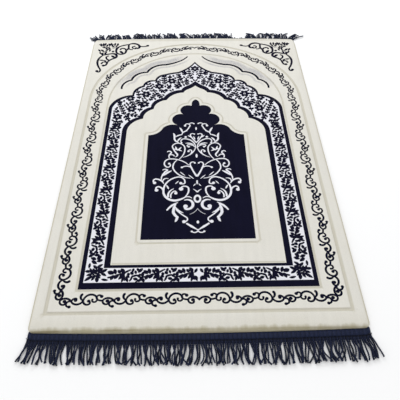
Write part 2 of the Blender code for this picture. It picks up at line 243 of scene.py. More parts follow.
# The band of flowers between the frame and the arch
BAND_FLOWERS = (
    Flower(-84, 338, 17, 10), Flower(-128, 308, 17, 30), Flower(-173, 264, 17.5, 0),
    Flower(-175, 211, 16.5, 20), Flower(-226, 243, 15.5, 15), Flower(-218, 186, 17, 0),
    Flower(-262, 146, 16.5, 25),
)
TOP_FLOWER = Flower(0, 413, 16.5, 30)
BAND_SPRIGS = (
    Sprig(-240, 156, 104, 62, 14, 5, 13, 4.6), Sprig(-236, 160, 352, 40, -12, 3, 14, 4.6),
    Sprig(-236, 155, 285, 24, 20, 2, 15, 4.8), Sprig(-225, 229, 298, 26, 8, 2, 16, 4.6),
    Sprig(-204, 237, 290, 34, 10, 3, 14, 4.6), Sprig(-263, 131, 265, 26, -10, 2, 14, 4.8),
    Sprig(-246, 131, 255, 28, -20, 2, 13, 4.8), Sprig(-257, 170, 150, 12, 20, 1, 12, 4.6),
    Sprig(-190, 172, 95, 18, -30, 1, 13, 4.6), Sprig(-257, 213, 110, 10, 0, 1, 13, 4.8),
    Sprig(-195, 238, 96, 46, 10, 3, 13, 4.6), Sprig(-147, 276, 122, 68, -22, 5, 15, 4.8),
    Sprig(-162, 293, 165, 16, 20, 1, 13, 4.6), Sprig(-158, 228, 75, 34, -20, 3, 12, 4.4),
    Sprig(-140, 273, 308, 34, 0, 3, 13, 4.8), Sprig(-127, 292, 300, 20, 20, 2, 12, 4.4),
    Sprig(-108, 318, 98, 52, -4, 4, 16, 4.8), Sprig(-134, 342, 270, 10, 0, 1, 15, 4.4),
    Sprig(-97, 292, 70, 18, 0, 2, 11, 4.4), Sprig(-96, 285, 180, 8, 0, 1, 12, 4.4),
    Sprig(-92, 353, 90, 8, 0, 1, 13, 4.4), Sprig(-52, 338, 110, 44, -14, 3, 14, 4.8),
    Sprig(-44, 320, 95, 44, 15, 2, 11, 4.4), Sprig(-48, 303, 140, 32, -50, 3, 12, 4.4),
    Sprig(-57, 294, 135, 20, -20, 2, 13, 4.6), Sprig(-30, 313, 85, 32, 15, 3, 13, 4.4),
    Sprig(-8, 349, 125, 56, -40, 4, 13, 4.6), Sprig(-36, 372, 110, 20, -20, 2, 14, 4.8),
)
FILLERS = {
    "pitch": 8.0, "jitter": 2.4, "length": 13.0, "width": 7.4, "heading": 118.0, "swing": 26.0,
    "clear": 5.6, "margin": 7.5, "low": 92.0, "high": 450.0, "reach": 284.0, "off_middle": 4.0,
    "seed": 5,
}

# The medallion, light strokes on the niche's dark ground
MEDALLION = (
    Curl(-23, 103, -7, 109, -150, 1, 1.6, 3.8, 4.2, 2.6), Curl(-43, 66, -22.5, 93, 40, 1, 3, 4.4, 4.4),
    Curl(-22.5, 93, -36, 99, 235, 1.1, 4.4, 4, 3.8, 4.2), Curl(-47, 55, -42, 70, -10, 1, 2.6, 3.8, 3.4),
    Curl(-57, 22, -70, 42, -75, 1, 4, 6.4, 6), Curl(-2, -3, -37, 38, 85, 1.2, 2.6, 4.8, 4.4),
    Curl(-37, 38, -47, 20, 130, 1, 4.4, 4.2, 3.4, 3.2), Curl(-3, -2, -24, 11, 70, 1, 3, 4, 3.8),
    Curl(-24, 11, -24, 2, 200, 1, 3.8, 3.4, 3, 3.8), Curl(-3, -4, -42, -44, -60, 1, 3, 5, 1.4),
    Curl(-20, -32, -15, -17, 50, 1, 2.6, 4.6, 4.2),
    Curl(-15, -17, -25, -18, 190, 1, 4.2, 3.6, 3.2, 3.9), Curl(0, 20, -18, 50, -10, 1, 4.4, 4.6, 4.4),
    Curl(-18, 50, -6, 59, -170, 1, 4.4, 4, 3.2, 2.8), Curl(-53, -51, -36, -5, 45, 1, 3, 4.2, 4.4),
    Curl(-36, -5, -55, 18, 75, 1, 4.4, 4.4, 4.2), Curl(-55, 18, -76, 3, 95, 1, 4.2, 4.2, 4.2),
    Curl(-76, 3, -60, -30, 20, 1, 4.2, 4.6, 6), Curl(-60, -30, -66, -42, -100, 1, 6, 4.4, 2.4),
    Curl(-84, -46, -79, -26, -80, 1, 3.4, 4.2, 5), Curl(-79, -26, -91, -20, 170, 1, 5, 4.6, 3),
    Curl(-83, -34, -69, -39, -120, 1, 3.8, 4.4, 3.2), Curl(-24, -77, -82, -50, 55, 1, 2.8, 4.2, 4.6),
    Curl(-82, -50, -93, -83, 130, 1, 4.6, 4.4, 4.6), Curl(-93, -83, -84, -70, 190, 1, 4.6, 4.2, 3.8, 4),
    Curl(-61, -56, -72, -90, 55, 1, 3, 4.6, 4.8), Curl(-72, -90, -20, -130, 65, 1, 4.8, 4.4, 2.4),
    Curl(-1, -122, -19, -80, -12, 1, 6.6, 5.2, 5.2),
    Curl(-19, -80, -6, -68, -180, 1.6, 4.6, 4.2, 3.4, 3.2),
    Curl(-14, -90, -45, -86, 95, 1, 4.4, 4.2, 3.6, 3.9),
    Curl(-106, -136, -88, -97, -55, 1, 3.4, 5.4, 6.2), Curl(-88, -97, -103, -97, 110, 1, 5, 4.4, 2.6),
    Curl(-98, -150, -121, -132, 60, 1.3, 3.2, 5.4, 5.4),
    Curl(-121, -132, -125, -147, 150, 1, 5.4, 4.8, 4.6, 5.4),
    Curl(-101, -143, -85, -131, -125, 1, 3.4, 4.4, 1.8),
    Curl(-97, -184, -111, -162, 65, 1.4, 3.4, 5.6, 5.4),
    Curl(-111, -162, -118, -175, 150, 1, 5.4, 5, 4.6, 5.7),
    Curl(-33, -200, -62, -214, -30, 1, 3.6, 6.4, 8.2),
    Curl(-62, -214, -98, -178, -95, 1, 8.2, 7.8, 6.4),
    Curl(-98, -178, -58, -125, -80, 1, 6.4, 5.2, 4.8),
    Curl(-58, -125, -36, -143, -100, 1, 4.8, 4.6, 4.4),
    Curl(-36, -143, -48, -149, -170, 1, 4.4, 4.2, 4, 5), Curl(-34, -199, -25, -170, 50, 1, 3.4, 5, 5.2),
    Curl(-25, -170, -36, -161, 85, 1, 5.2, 5, 4.8),
    Curl(-36, -161, -47, -171, 110, 1, 4.8, 4.6, 4.6, 7), Curl(-36, -203, -16, -206, -90, 1, 3, 4, 2.4),
    Curl(-84, -200, -68, -170, -75, 1, 6.4, 5.6, 2), Curl(-76, -203, -68, -180, -70, 1, 5, 4.4, 4.2),
    Curl(-68, -180, -62, -187, -170, 1, 4.2, 4, 4, 5), Curl(0, -183, -12, -172, 20, 1, 5, 3.4, 1.2),
    Curl(-37, -213, -13, -228, -120, 1, 3, 6.4, 8.8), Curl(-13, -228, -29, -245, -95, 1, 8.8, 8.2, 7.4),
    Curl(-29, -245, -34, -235, -150, 1, 7.4, 6.6, 6, 6.8),
    Curl(-56, -221, -86, -248, 35, 1, 2.4, 7.4, 4.8), Curl(-61, -224, -68, -256, 25, 1, 4, 8.4, 8.8),
    Curl(-68, -256, -55, -274, 30, 1, 8.8, 8.4, 7.4), Curl(-61, -246, -33, -272, 15, 1, 3.6, 4.2, 4.2),
    Curl(-33, -272, -38, -288, -160, 1, 4.2, 4.2, 4.2, 5.6),
    Curl(-22, -263, 0, -243, 45, 1, 1, 1.5, 1.2), Curl(-31, -294, -2, -315, 0, 1, 5.4, 7.6, 2.6),
    Curl(0, -314, -17, -321, -155, 0.8, 3.6, 3.8, 3.6, 3.2), Leaf(-44, 67, -54, 91, 6.6, 25),
    Leaf(-45, 66, -28, 75, 5.4, -30), Leaf(-71, 38, -74, 65, 7.4, 50), Leaf(-60, 26, -47, 44, 6, -35),
    Leaf(-66, 47, -44, 58, 5.6, -35), Leaf(-8, 10, -36, 17, 5.4, 60), Leaf(-12, 42, -27, 54, 4.6, -20),
    Leaf(-4, 34, -9, 49, 4.6), Leaf(-60, -14, -66, 4, 6, -10), Leaf(-60, -14, -47, 1, 5.4, 15),
    Leaf(-62, -10, -45, -17, 5.2, -20), Leaf(-71, -7, -58, -11, 4.8), Leaf(-51, -104, -35, -120, 3.6),
    Leaf(-25, -117, -9, -133, 3.4), Leaf(-100, -119, -75, -99, 7.6, -25),
    Leaf(-83, -171, -90, -156, 5.4, 10), Leaf(-64, -152, -54, -140, 3.6),
    Leaf(-11, -160, -4, -151, 3.4), Leaf(-57, -270, -63, -289, 8, -40),
    Leaf(-63, -236, -39, -258, 5.8, 55), Leaf(-0.5, 79, -0.5, 92, 5), Leaf(-0.5, -30, -0.5, -46, 6),
    Leaf(-0.5, -138, -0.5, -154, 4.6), Leaf(-0.5, -285, -0.5, -295, 7), Drop(-34, 46, 4.2),
)
RING = Ring(-208, (11, 15), (5.5, 8))

# The ornament in each far corner
CORNER_CURLS = (
    Curl(-222, 571, -184, 565, 100, 1, 3, 4.2, 4, 5), Curl(-258, 574, -218, 568, -95, 1, 4.2, 6.2, 5.4),
    Curl(-218, 568, -216, 553, -40, 1, 5.4, 6.4, 6),
    Curl(-216, 553, -228, 549, -130, 1, 6, 5, 4.4, 4.6),
    Curl(-258, 574, -292, 561, 20, 1, 4.2, 4.8, 4.6), Curl(-292, 561, -304, 530, 60, 1, 4.6, 6.4, 5.2),
    Curl(-304, 530, -283, 508, 90, 1, 5.2, 5, 5), Curl(-283, 508, -266, 528, 95, 1, 5, 5.4, 5.2),
    Curl(-266, 528, -280, 548, 100, 1, 5.2, 4.8, 4.6),
    Curl(-280, 548, -288, 541, 100, 1, 4.6, 4.2, 4, 3.2),
    Curl(-258, 574, -256, 545, 15, 1, 4.2, 5, 3.8),
    Curl(-257, 551, -243, 539, 100, 1, 3.6, 3.6, 3.2, 2.8),
    Curl(-229, 544, -243, 553, -80, 1, 3.6, 4, 3.8),
    Curl(-243, 553, -235, 561, -110, 1, 3.8, 3.8, 3.6, 3.2),
    Curl(-354, 500, -368, 458, 45, 1, 3.8, 5.2, 5.2), Curl(-368, 458, -354, 416, 25, 1, 5.2, 4.8, 4.2),
    Curl(-354, 416, -352, 400, -50, 1, 4.2, 4.2, 4.2),
    Curl(-352, 400, -363, 402, -170, 1, 4.2, 4.2, 4, 4.8),
    Curl(-354, 502, -322, 512, -15, 1, 3.8, 5, 4.8), Curl(-322, 512, -299, 498, -100, 1, 4.8, 6.4, 6.2),
    Curl(-299, 498, -310, 481, -80, 1, 6.2, 6.2, 5.4), Curl(-310, 481, -330, 459, 30, 1, 5, 4.6, 4.4),
    Curl(-320, 470, -337, 484, -80, 1, 4.4, 4.4, 4.4),
    Curl(-337, 484, -332, 497, -100, 1, 4.4, 4.2, 4, 3.2),
    Curl(-330, 459, -334, 440, -20, 1, 4.4, 4.8, 4.6),
    Curl(-334, 440, -343, 436, -110, 1, 4.6, 4.4, 4.2, 5),
    Curl(-334, 455, -351, 449, 150, 1, 4.4, 4, 3.8, 3.4),
)
CORNER_STEMS = (
    Curl(-344, 551, -364, 572, 10, 1, 2, 2.6, 2.6), Curl(-343, 555, -353, 574, 10, 1, 2, 2.6, 2.4),
    Curl(-335, 557, -330, 576, 10, 1, 2.2, 2.6, 2.2), Curl(-322, 549, -312, 572, 20, 1, 2, 2.6, 2.4),
    Curl(-318, 545, -300, 574, 10, 1, 2, 2.8, 2.4), Curl(-356, 504, -368, 540, -25, 1, 3, 3.2, 2.4),
    Curl(-352, 520, -345, 531, 0, 1, 2.4, 3, 2.4),
)
CORNER_LEAVES = (
    Leaf(-364, 562, -369, 583, 6.6), Leaf(-362, 567, -376, 577, 5), Leaf(-355, 563, -359, 585, 6.4),
    Leaf(-352, 570, -349, 586, 5.6), Leaf(-348, 551, -362, 560, 5.8, 15),
    Leaf(-341, 560, -344, 576, 5.2), Leaf(-334, 566, -337, 583, 5, -10),
    Leaf(-331, 566, -327, 586, 6.2), Leaf(-323, 560, -321, 580, 5.4), Leaf(-315, 556, -326, 570, 5, 10),
    Leaf(-313, 566, -313, 586, 5.6, 10), Leaf(-308, 555, -303, 572, 5), Leaf(-301, 566, -302, 584, 5.6),
    Leaf(-308, 545, -296, 560, 5), Leaf(-330, 527, -326, 543, 5.4, -20),
    Leaf(-351, 526, -364, 541, 6.6), Leaf(-365, 527, -374, 543, 5.6), Leaf(-355, 507, -369, 523, 5.6),
    Leaf(-353, 504, -356, 521, 5.6), Leaf(-347, 509, -341, 527, 6.2, 20),
    Leaf(-345, 527, -338, 538, 5.6), Leaf(-276, 513, -290, 531, 8), Leaf(-306, 487, -320, 501, 7.6),
    Leaf(-257, 552, -264, 531, 5.6), Leaf(-362, 471, -343, 469, 5.6), Leaf(-345, 470, -334, 462, 5.2),
    Drop(-316, 527, 5.6), Drop(-343, 545, 3.6),
)
CORNER_FLOWER = Flower(-337.5, 547.5, 10.5, 10)

# How much each part's strokes are thickened, and how the widths change along a stroke
SCROLL_END_WEIGHT = 1.7
SCROLL_WEIGHTS = {"along": (0, 300, 700, 850, 1300), "weight": (1.85, 1.67, 1.62, 1.88, 2.05)}
VINE_WEIGHT = 1.18
VINE_CORNER_WEIGHT = 0.93
BAND_WEIGHT = 1.8
MEDALLION_WEIGHT = 0.93
CORNER_WEIGHT = 1.6
CORNER_LEAF_WEIGHT = 1.5
LEAF_FORM = {"along": (0, 0.2, 0.45, 0.7, 0.88, 1), "width": (0.3, 0.8, 1, 0.85, 0.5, 0.06)}
CRESCENT_FORM = {"along": (0, 0.3, 0.75, 1), "width": (7.0, 9.2, 9.6, 5.0)}


# ---------------------------------------------------------------- drawing the pattern
def curl_path(start, end, turn, tighten):
    """A curl from start to end that turns by so many degrees, more of it late if it tightens."""
    reach = math.hypot(end[0] - start[0], end[1] - start[1])
    steps = max(4, round(abs(turn) / 18 + reach / 30))
    share = (np.arange(steps) + 0.5) / steps
    heading = np.exp(1j * np.radians(turn * share**tighten))
    path = np.concatenate(((0,), np.cumsum(heading)))
    path = path / path[-1] * complex(end[0] - start[0], end[1] - start[1])
    return np.column_stack((path.real + start[0], path.imag + start[1]))


def unit_rows(vectors):
    """Each row's vector, made 1 long."""
    return vectors / np.linalg.norm(vectors, axis=1)[:, None]


def ribbon(path, widths):
    """A closed outline round a path, with rounded ends."""
    along = unit_rows(np.gradient(path, axis=0))
    side = np.column_stack((-along[:, 1], along[:, 0])) * np.asarray(widths)[:, None] / 2
    first = path[:1] - along[:1] * widths[0] / 3
    last = path[-1:] + along[-1:] * widths[-1] / 3
    return np.vstack((first, path - side, last, (path + side)[::-1]))


def oval(x, y, along, across, heading=0.0, sides=10):
    """An oval outline. Its heading is in degrees."""
    angle = 2 * np.pi * np.arange(sides) / sides
    points = (along * np.cos(angle) + 1j * across * np.sin(angle)) * np.exp(1j * np.radians(heading))
    return np.column_stack((points.real + x, points.imag + y))


def curl_shapes(curl, weight=1.0):
    """A tapered stroke, and the ball at its end if it has one."""
    path = curl_path((curl.x, curl.y), (curl.to_x, curl.to_y), curl.turn, curl.tighten)
    share = np.linspace(0, 1, len(path))
    widths = np.interp(share, (0, 0.5, 1), (curl.root, curl.middle, curl.tip))
    shapes = [ribbon(path, widths * weight)]
    if curl.ball:
        radius = curl.ball * math.sqrt(weight)
        shapes.append(oval(*path[-1], radius, radius))
    return shapes


def leaf_shape(leaf, weight=1.0):
    """A leaf's outline, pointed at its tip."""
    path = curl_path((leaf.x, leaf.y), (leaf.to_x, leaf.to_y), leaf.bend, 1.0)
    share = np.linspace(0, 1, len(path))
    path = np.column_stack([np.interp(LEAF_FORM["along"], share, path[:, k]) for k in (0, 1)])
    return ribbon(path, leaf.width * weight * np.array(LEAF_FORM["width"]))


def leaf_towards(x, y, heading, length, width, bend, weight=1.0):
    """A leaf from a place along a heading."""
    angle = math.radians(heading)
    tip_x, tip_y = x + length * math.cos(angle), y + length * math.sin(angle)
    return leaf_shape(Leaf(x, y, tip_x, tip_y, width, bend), weight)


def sprig_shapes(sprig, weight=1.0, steps=6, stem_width=2.2, spread=40.0, leaf_bend=25.0):
    """A stem with pairs of leaves and one at its tip."""
    share = (np.arange(steps) + 0.5) / steps
    heading = np.exp(1j * np.radians(sprig.heading + sprig.turn * share))
    stem = np.concatenate(((0,), np.cumsum(heading) * sprig.length / steps))
    path = np.column_stack((stem.real + sprig.x, stem.imag + sprig.y))
    marks = np.linspace(0, 1, steps + 1)
    shapes = [ribbon(path, np.full(steps + 1, stem_width * weight))]
    for number in range(sprig.pairs):
        place = (number + 0.4) / (sprig.pairs + 0.1)
        x, y = (np.interp(place, marks, path[:, k]) for k in (0, 1))
        length = sprig.leaf_length * (1 - 0.25 * abs(place - 0.4))
        for side in (-1, 1):
            heading = sprig.heading + sprig.turn * place + side * spread
            bend = -side * leaf_bend
            shapes.append(leaf_towards(x, y, heading, length, sprig.leaf_width, bend, weight))
    heading = sprig.heading + sprig.turn
    shapes.append(
        leaf_towards(*path[-1], heading, sprig.leaf_length, sprig.leaf_width, 0, weight)
    )
    return shapes


def flower_shapes(flower, petals=6):
    """A flower's petals, which meet round its ring."""
    shapes = []
    for k in range(petals):
        heading = flower.turn + 360 * k / petals
        angle = math.radians(heading)
        x = flower.x + flower.radius * 0.62 * math.cos(angle)
        y = flower.y + flower.radius * 0.62 * math.sin(angle)
        shapes.append(oval(x, y, flower.radius * 0.44, flower.radius * 0.36, heading, 12))
    return shapes


def flower_ring(flower):
    """The pale ring in a flower's middle."""
    return oval(flower.x, flower.y, flower.radius * 0.22, flower.radius * 0.22, 0, 12)


def flower_heart(flower):
    """The dark spot inside the ring."""
    return oval(flower.x, flower.y, flower.radius * 0.12, flower.radius * 0.12, 0, 8)


def shapes_of(part, weight=1.0):
    """The outlines of one row of a table. A weight over 1 thickens its strokes."""
    if isinstance(part, Curl):
        return curl_shapes(part, weight)
    if isinstance(part, Leaf):
        return [leaf_shape(part, weight)]
    if isinstance(part, Sprig):
        return sprig_shapes(part, weight)
    if isinstance(part, Flower):
        return flower_shapes(part)
    return [oval(part.x, part.y, part.radius, part.radius)]


def drawn(parts, weight=1.0):
    """The outlines of a table's rows."""
    return [shape for part in parts for shape in shapes_of(part, weight)]


def mirrored(points):
    """The same points on the rug's other half."""
    return points * (-1, 1)


def on_both_sides(shapes):
    """The left half's outlines and the right half's."""
    return list(shapes) + [mirrored(shape) for shape in shapes]


def bowed_line(rows):
    """Points along a table's rows. Each run bows to the left of its way by its bulge."""
    points = []
    for row, after in zip(rows, rows[1:]):
        run = complex(after.x - row.x, after.y - row.y)
        share = np.arange(row.segments) / row.segments
        place = share + 0j
        if row.bulge:
            half_angle = 2 * math.atan(2 * row.bulge)
            turn = half_angle * (2 * share - 1)
            radius = 0.5 / math.sin(half_angle)
            place = 0.5 + radius * (np.sin(turn) + 1j * (np.cos(turn) - math.cos(half_angle)))
        points += [(p.real, p.imag) for p in complex(row.x, row.y) + run * place]
    points.append((rows[-1].x, rows[-1].y))
    return np.array(points)


def silhouette(rows):
    """The closed outline whose left half a table gives."""
    half = bowed_line(rows)
    return np.vstack((half, mirrored(half)[-2::-1]))


def arch_course():
    """The scroll border's middle line: up the left side, then round the arch to the top."""
    side, spring, rise = (SCROLL_COURSE[key] for key in ("side", "spring", "rise"))
    angle = np.linspace(0, np.pi / 2, 300)
    arch = np.column_stack((-side * np.cos(angle), spring + rise * np.sin(angle)))
    return np.vstack(([[-side, SCROLL_COURSE["foot"]]], arch, [[30.0, spring + rise]]))


def along_course(points, course):
    """Lay points (towards the middle, along) on a course that has the middle on its right."""
    runs = np.linalg.norm(np.diff(course, axis=0), axis=1)
    marks = np.concatenate(((0,), np.cumsum(runs)))

    def at(distance):
        return np.column_stack([np.interp(distance, marks, course[:, k]) for k in (0, 1)])

    ahead = unit_rows(at(points[:, 1] + 1) - at(points[:, 1] - 1))
    inwards = np.column_stack((ahead[:, 1], -ahead[:, 0]))
    return at(points[:, 1]) + inwards * points[:, :1]


def scroll_border():
    """The scroll border's left half: up the side and over the arch, and along the near end."""
    course = arch_course()
    first = SCROLL_COURSE["first"] - SCROLL_COURSE["foot"]
    arch_end = np.linalg.norm(np.diff(course[:-1], axis=0), axis=1).sum()
    arch_start = first + SCROLL_SIDE_PERIODS * SCROLL_PERIOD
    arch_period = (arch_end - first - SCROLL_SIDE_PERIODS * SCROLL_PERIOD) / SCROLL_ARCH_PERIODS
    scale = arch_period / SCROLL_PERIOD
    lays = [(SCROLL_BEFORE_CORNER, first - SCROLL_PERIOD, 1.0)]
    lays += [(SCROLL, first + k * SCROLL_PERIOD, 1.0) for k in range(SCROLL_SIDE_PERIODS)]
    lays += [(SCROLL, arch_start + k * arch_period, scale) for k in range(SCROLL_ARCH_PERIODS)]
    shapes = []
    for parts, start, scale in lays:
        weight = np.interp(start, SCROLL_WEIGHTS["along"], SCROLL_WEIGHTS["weight"])
        outlines = drawn(parts, weight)
        shapes += [along_course(s * scale + (0, start), course) for s in outlines]
    stretch = SCROLL_END["period"] / SCROLL_PERIOD
    start = SCROLL_END["stop"] - SCROLL_AT_MIDDLE_REACH * stretch - 2 * SCROLL_END["period"]
    rows = (SCROLL_BEFORE_CORNER, SCROLL, SCROLL, SCROLL_AT_MIDDLE)
    for k, parts in enumerate(rows, start=-1):
        for s in drawn(parts, SCROLL_END_WEIGHT):
            along = start + k * SCROLL_END["period"] + stretch * s[:, 1]
            shapes.append(np.column_stack((along, s[:, 0] + SCROLL_END["y"])))
    return shapes


def vine_border():
    """The leaf vine's left half: down the side, the spray in the corner, and along the near end."""
    period = drawn(VINE, VINE_WEIGHT)
    shapes = drawn(VINE_CORNER, VINE_CORNER_WEIGHT)
    for run, way, along_x in ((VINE_SIDE, -1, False), (VINE_END, 1, True)):
        for k in range(run["periods"]):
            start = run["first"] + way * VINE_PERIOD * k
            for shape in period:
                along, across = start + way * shape[:, 1], shape[:, 0] + run["middle"]
                if run["low"] < along.min() and along.max() < run["high"]:
                    shapes.append(np.column_stack((along, across) if along_x else (across, along)))
    return shapes


def shifted_line(line, distance):
    """An open line moved to the left of its way."""
    ahead = unit_rows(np.gradient(line, axis=0))
    return line + np.column_stack((-ahead[:, 1], ahead[:, 0])) * distance


def filler_leaves(shapes):
    """Small leaves wherever the flower band's left half has room between its other shapes."""
    others = np.vstack([spaced_along(shape, 2.0)[0] for shape in shapes])
    outer, inner = silhouette(FRAME_INSIDE), silhouette(ARCH_OUTSIDE)
    edges = np.vstack([spaced_along(edge, 2.0)[0] for edge in (outer, inner)])
    rng = random.Random(FILLERS["seed"])
    leaves = []
    pitch, jitter = FILLERS["pitch"] / 2, FILLERS["jitter"]
    for row in range(int((FILLERS["high"] - FILLERS["low"]) / pitch)):
        for column in range(int(FILLERS["reach"] / pitch)):
            x = pitch * column - FILLERS["reach"] + rng.uniform(-1, 1) * jitter / 2
            y = FILLERS["low"] + pitch * row + rng.uniform(-1, 1) * jitter / 2
            place = np.array((x, y))
            if (
                x > -FILLERS["off_middle"]
                or np.abs(others - place).sum(axis=1).min() < FILLERS["clear"]
                or np.linalg.norm(edges - place, axis=1).min() < FILLERS["margin"]
                or not winds_round(place[None], outer)[0]
                or winds_round(place[None], inner)[0]
            ):
                continue
            heading = math.radians(FILLERS["heading"] + rng.uniform(-1, 1) * FILLERS["swing"])
            half = FILLERS["length"] / 2 * np.array((math.cos(heading), math.sin(heading)))
            leaf = leaf_shape(Leaf(*(place - half), *(place + half), FILLERS["width"]))
            leaves.append(leaf)
            others = np.vstack((others, spaced_along(leaf, 2.0)[0]))
    return leaves


def painted_layers():
    """What is painted on the pile, as (paint, outlines), each layer over the ones before it."""
    crescent = bowed_line(CRESCENT)
    share = np.linspace(0, 1, len(crescent))
    widths = np.interp(share, CRESCENT_FORM["along"], CRESCENT_FORM["width"])
    crescent = ribbon(crescent, widths)
    flowers = BAND_FLOWERS + (TOP_FLOWER,)
    corner = drawn(CORNER_CURLS, CORNER_WEIGHT) + drawn(CORNER_LEAVES, CORNER_LEAF_WEIGHT)
    corner += drawn(CORNER_STEMS + (CORNER_FLOWER,))
    frame_edge = silhouette(FRAME_OUTSIDE)
    band = drawn(BAND_SPRIGS, BAND_WEIGHT) + drawn(flowers)
    band = [shape for shape in band if winds_round(shape, frame_edge).all()]
    vine = vine_border()
    medallion = on_both_sides(drawn(MEDALLION, MEDALLION_WEIGHT))
    medallion.append(oval(0, RING.y, *RING.outside, sides=20))
    return (
        ("navy", on_both_sides(scroll_border())),
        ("navy", on_both_sides(corner)),
        ("cream", on_both_sides([flower_ring(CORNER_FLOWER)])),
        ("navy", on_both_sides([flower_heart(CORNER_FLOWER), crescent])),
        ("navy", [frame_edge]),
        ("ground", [silhouette(FRAME_INSIDE)]),
        ("navy", on_both_sides(vine + band + filler_leaves(vine + band))),
        ("ground", on_both_sides([flower_ring(flower) for flower in flowers])),
        ("navy", on_both_sides([flower_heart(flower) for flower in flowers])),
        ("navy", [silhouette(ARCH_OUTSIDE)]),
        ("cream", [silhouette(ARCH_INSIDE)]),
        ("navy", [silhouette(NICHE)]),
        ("ground", medallion),
        ("navy", [oval(0, RING.y, *RING.inside, sides=16)]),
    )


# ---------------------------------------------------------------- the pile's mesh
def end_reach(x):
    """How far an end of the mat lies from the origin at places across it."""
    x = np.abs(x)
    reach = HALF_LENGTH + END_BOW * (0.5 - (x / HALF_WIDTH) ** 2)
    into_corner = np.clip(x - (HALF_WIDTH - CORNER_RADIUS), 0, CORNER_RADIUS)
    return reach - CORNER_RADIUS + np.sqrt(CORNER_RADIUS**2 - into_corner**2)


def mat_outline(half_width, corner, near_inset, far_inset):
    """The mat's closed outline, anticlockwise from the near end's middle."""
    straight = half_width - corner
    x = np.linspace(0, straight, END_STEPS + 1)
    reach = end_reach(x * (HALF_WIDTH - CORNER_RADIUS) / straight)
    angle = np.linspace(0, np.pi / 2, CORNER_STEPS + 1)[1:]
    quarters = []
    for inset in (near_inset, far_inset):
        end = np.column_stack((x, reach - inset))
        corner_y = end[-1, 1] - corner
        rounding = np.column_stack(
            (straight + corner * np.sin(angle), corner_y + corner * np.cos(angle))
        )
        quarters.append(np.vstack((end, rounding)))
    near, far = quarters
    side_y = np.linspace(-near[-1, 1], far[-1, 1], SIDE_STEPS + 1)[1:-1]
    side = np.column_stack((np.full(len(side_y), half_width), side_y))
    right = np.vstack((near * (1, -1), side, far[::-1]))
    return np.vstack((right, mirrored(right[1:-1])[::-1]))


def winds_round(points, outline):
    """Which points lie inside a closed outline that may cross itself."""
    x, y = points[:, :1], points[:, 1:]
    a_x, a_y = outline.T
    b_x, b_y = np.roll(outline, -1, axis=0).T
    left = (b_x - a_x) * (y - a_y) - (x - a_x) * (b_y - a_y)
    up = (a_y <= y) & (b_y > y) & (left > 0)
    down = (a_y > y) & (b_y <= y) & (left < 0)
    return up.sum(axis=1) != down.sum(axis=1)


def distance_to(points, line):
    """Each point's distance to a closed line."""
    nearest = np.full(len(points), np.inf)
    for start, end in zip(line, np.roll(line, -1, axis=0)):
        run = end - start
        share = np.clip((points - start) @ run / max(run @ run, 1e-9), 0, 1)
        nearest = np.minimum(nearest, np.linalg.norm(points - start - share[:, None] * run, axis=1))
    return nearest


def arched_line(half_width, foot, spring, rise):
    """A closed line: straight across the foot, up the sides and over an arch."""
    angle = np.linspace(0, np.pi, ARCH_SEGMENTS + 1)
    arch = np.column_stack((half_width * np.cos(angle), spring + rise * np.sin(angle)))
    return np.vstack(([[-half_width, foot], [half_width, foot]], arch))


def pressed_lines():
    """Each pressed line as (the closed line it follows, its Line)."""
    lines = [(arched_line(*row[:4]), Line(row[4], row[5], 0.0)) for row in ARCHED_LINES]
    return lines + [(silhouette(NICHE), NICHE_LINE), (np.array(FOOT_LINE_ENDS), FOOT_LINE)]


def stippled(points):
    """How strong the pressed dots, with their bump and their painted shade, are at points on the pile.
    """
    folded = np.column_stack((-np.abs(points[:, 0]), points[:, 1]))
    line = bowed_line(CRESCENT)
    nearest = np.full(len(points), np.inf)
    offset = np.zeros(len(points))
    share = np.zeros(len(points))
    for number, (start, end) in enumerate(zip(line, line[1:])):
        run = end - start
        place = np.clip((folded - start) @ run / (run @ run), 0, 1)
        aside = folded - start - place[:, None] * run
        away = np.linalg.norm(aside, axis=1)
        side = np.sign(run[0] * aside[:, 1] - run[1] * aside[:, 0])
        offset = np.where(away < nearest, away * side, offset)
        share = np.where(away < nearest, (number + place) / (len(line) - 1), share)
        nearest = np.minimum(away, nearest)
    across = np.interp(offset, STIPPLE_ACROSS["offset"], STIPPLE_ACROSS["strength"])
    return across * np.interp(share, STIPPLE_ALONG["share"], STIPPLE_ALONG["strength"])


def points_for_stipple():
    """Points beside both crescents, so that the dots fade in and out where they should."""
    line = bowed_line(CRESCENT)
    rows = [
        spaced_along(shifted_line(line, offset), STIPPLE_PITCH, closed=False)[0]
        for offset in STIPPLE_ACROSS["offset"]
    ]
    left = np.vstack(rows)
    return np.vstack((left, mirrored(left)))


def off_line(points, course, line):
    """How far points lie from a pressed line's middle."""
    away = distance_to(points, course)
    if line.stand_off:
        away = np.where(winds_round(points, course), -away, away)
    return np.abs(away - line.stand_off)


def spaced_along(line, pitch, closed=True):
    """Evenly spaced points on a line, with its direction at each."""
    loop = np.vstack((line, line[:1])) if closed else line
    runs = np.linalg.norm(np.diff(loop, axis=0), axis=1)
    marks = np.concatenate(((0,), np.cumsum(runs)))
    places = np.arange(0, marks[-1], pitch)
    points = np.column_stack([np.interp(places, marks, loop[:, k]) for k in (0, 1)])
    run = np.clip(np.searchsorted(marks, places, side="right") - 1, 0, len(runs) - 1)
    return points, (np.diff(loop, axis=0) / runs[:, None])[run]


def turning(line):
    """-1 for a closed line that runs clockwise, otherwise 1."""
    x, y = line.T
    return -1.0 if np.sum(x * np.roll(y, -1) - y * np.roll(x, -1)) < 0 else 1.0


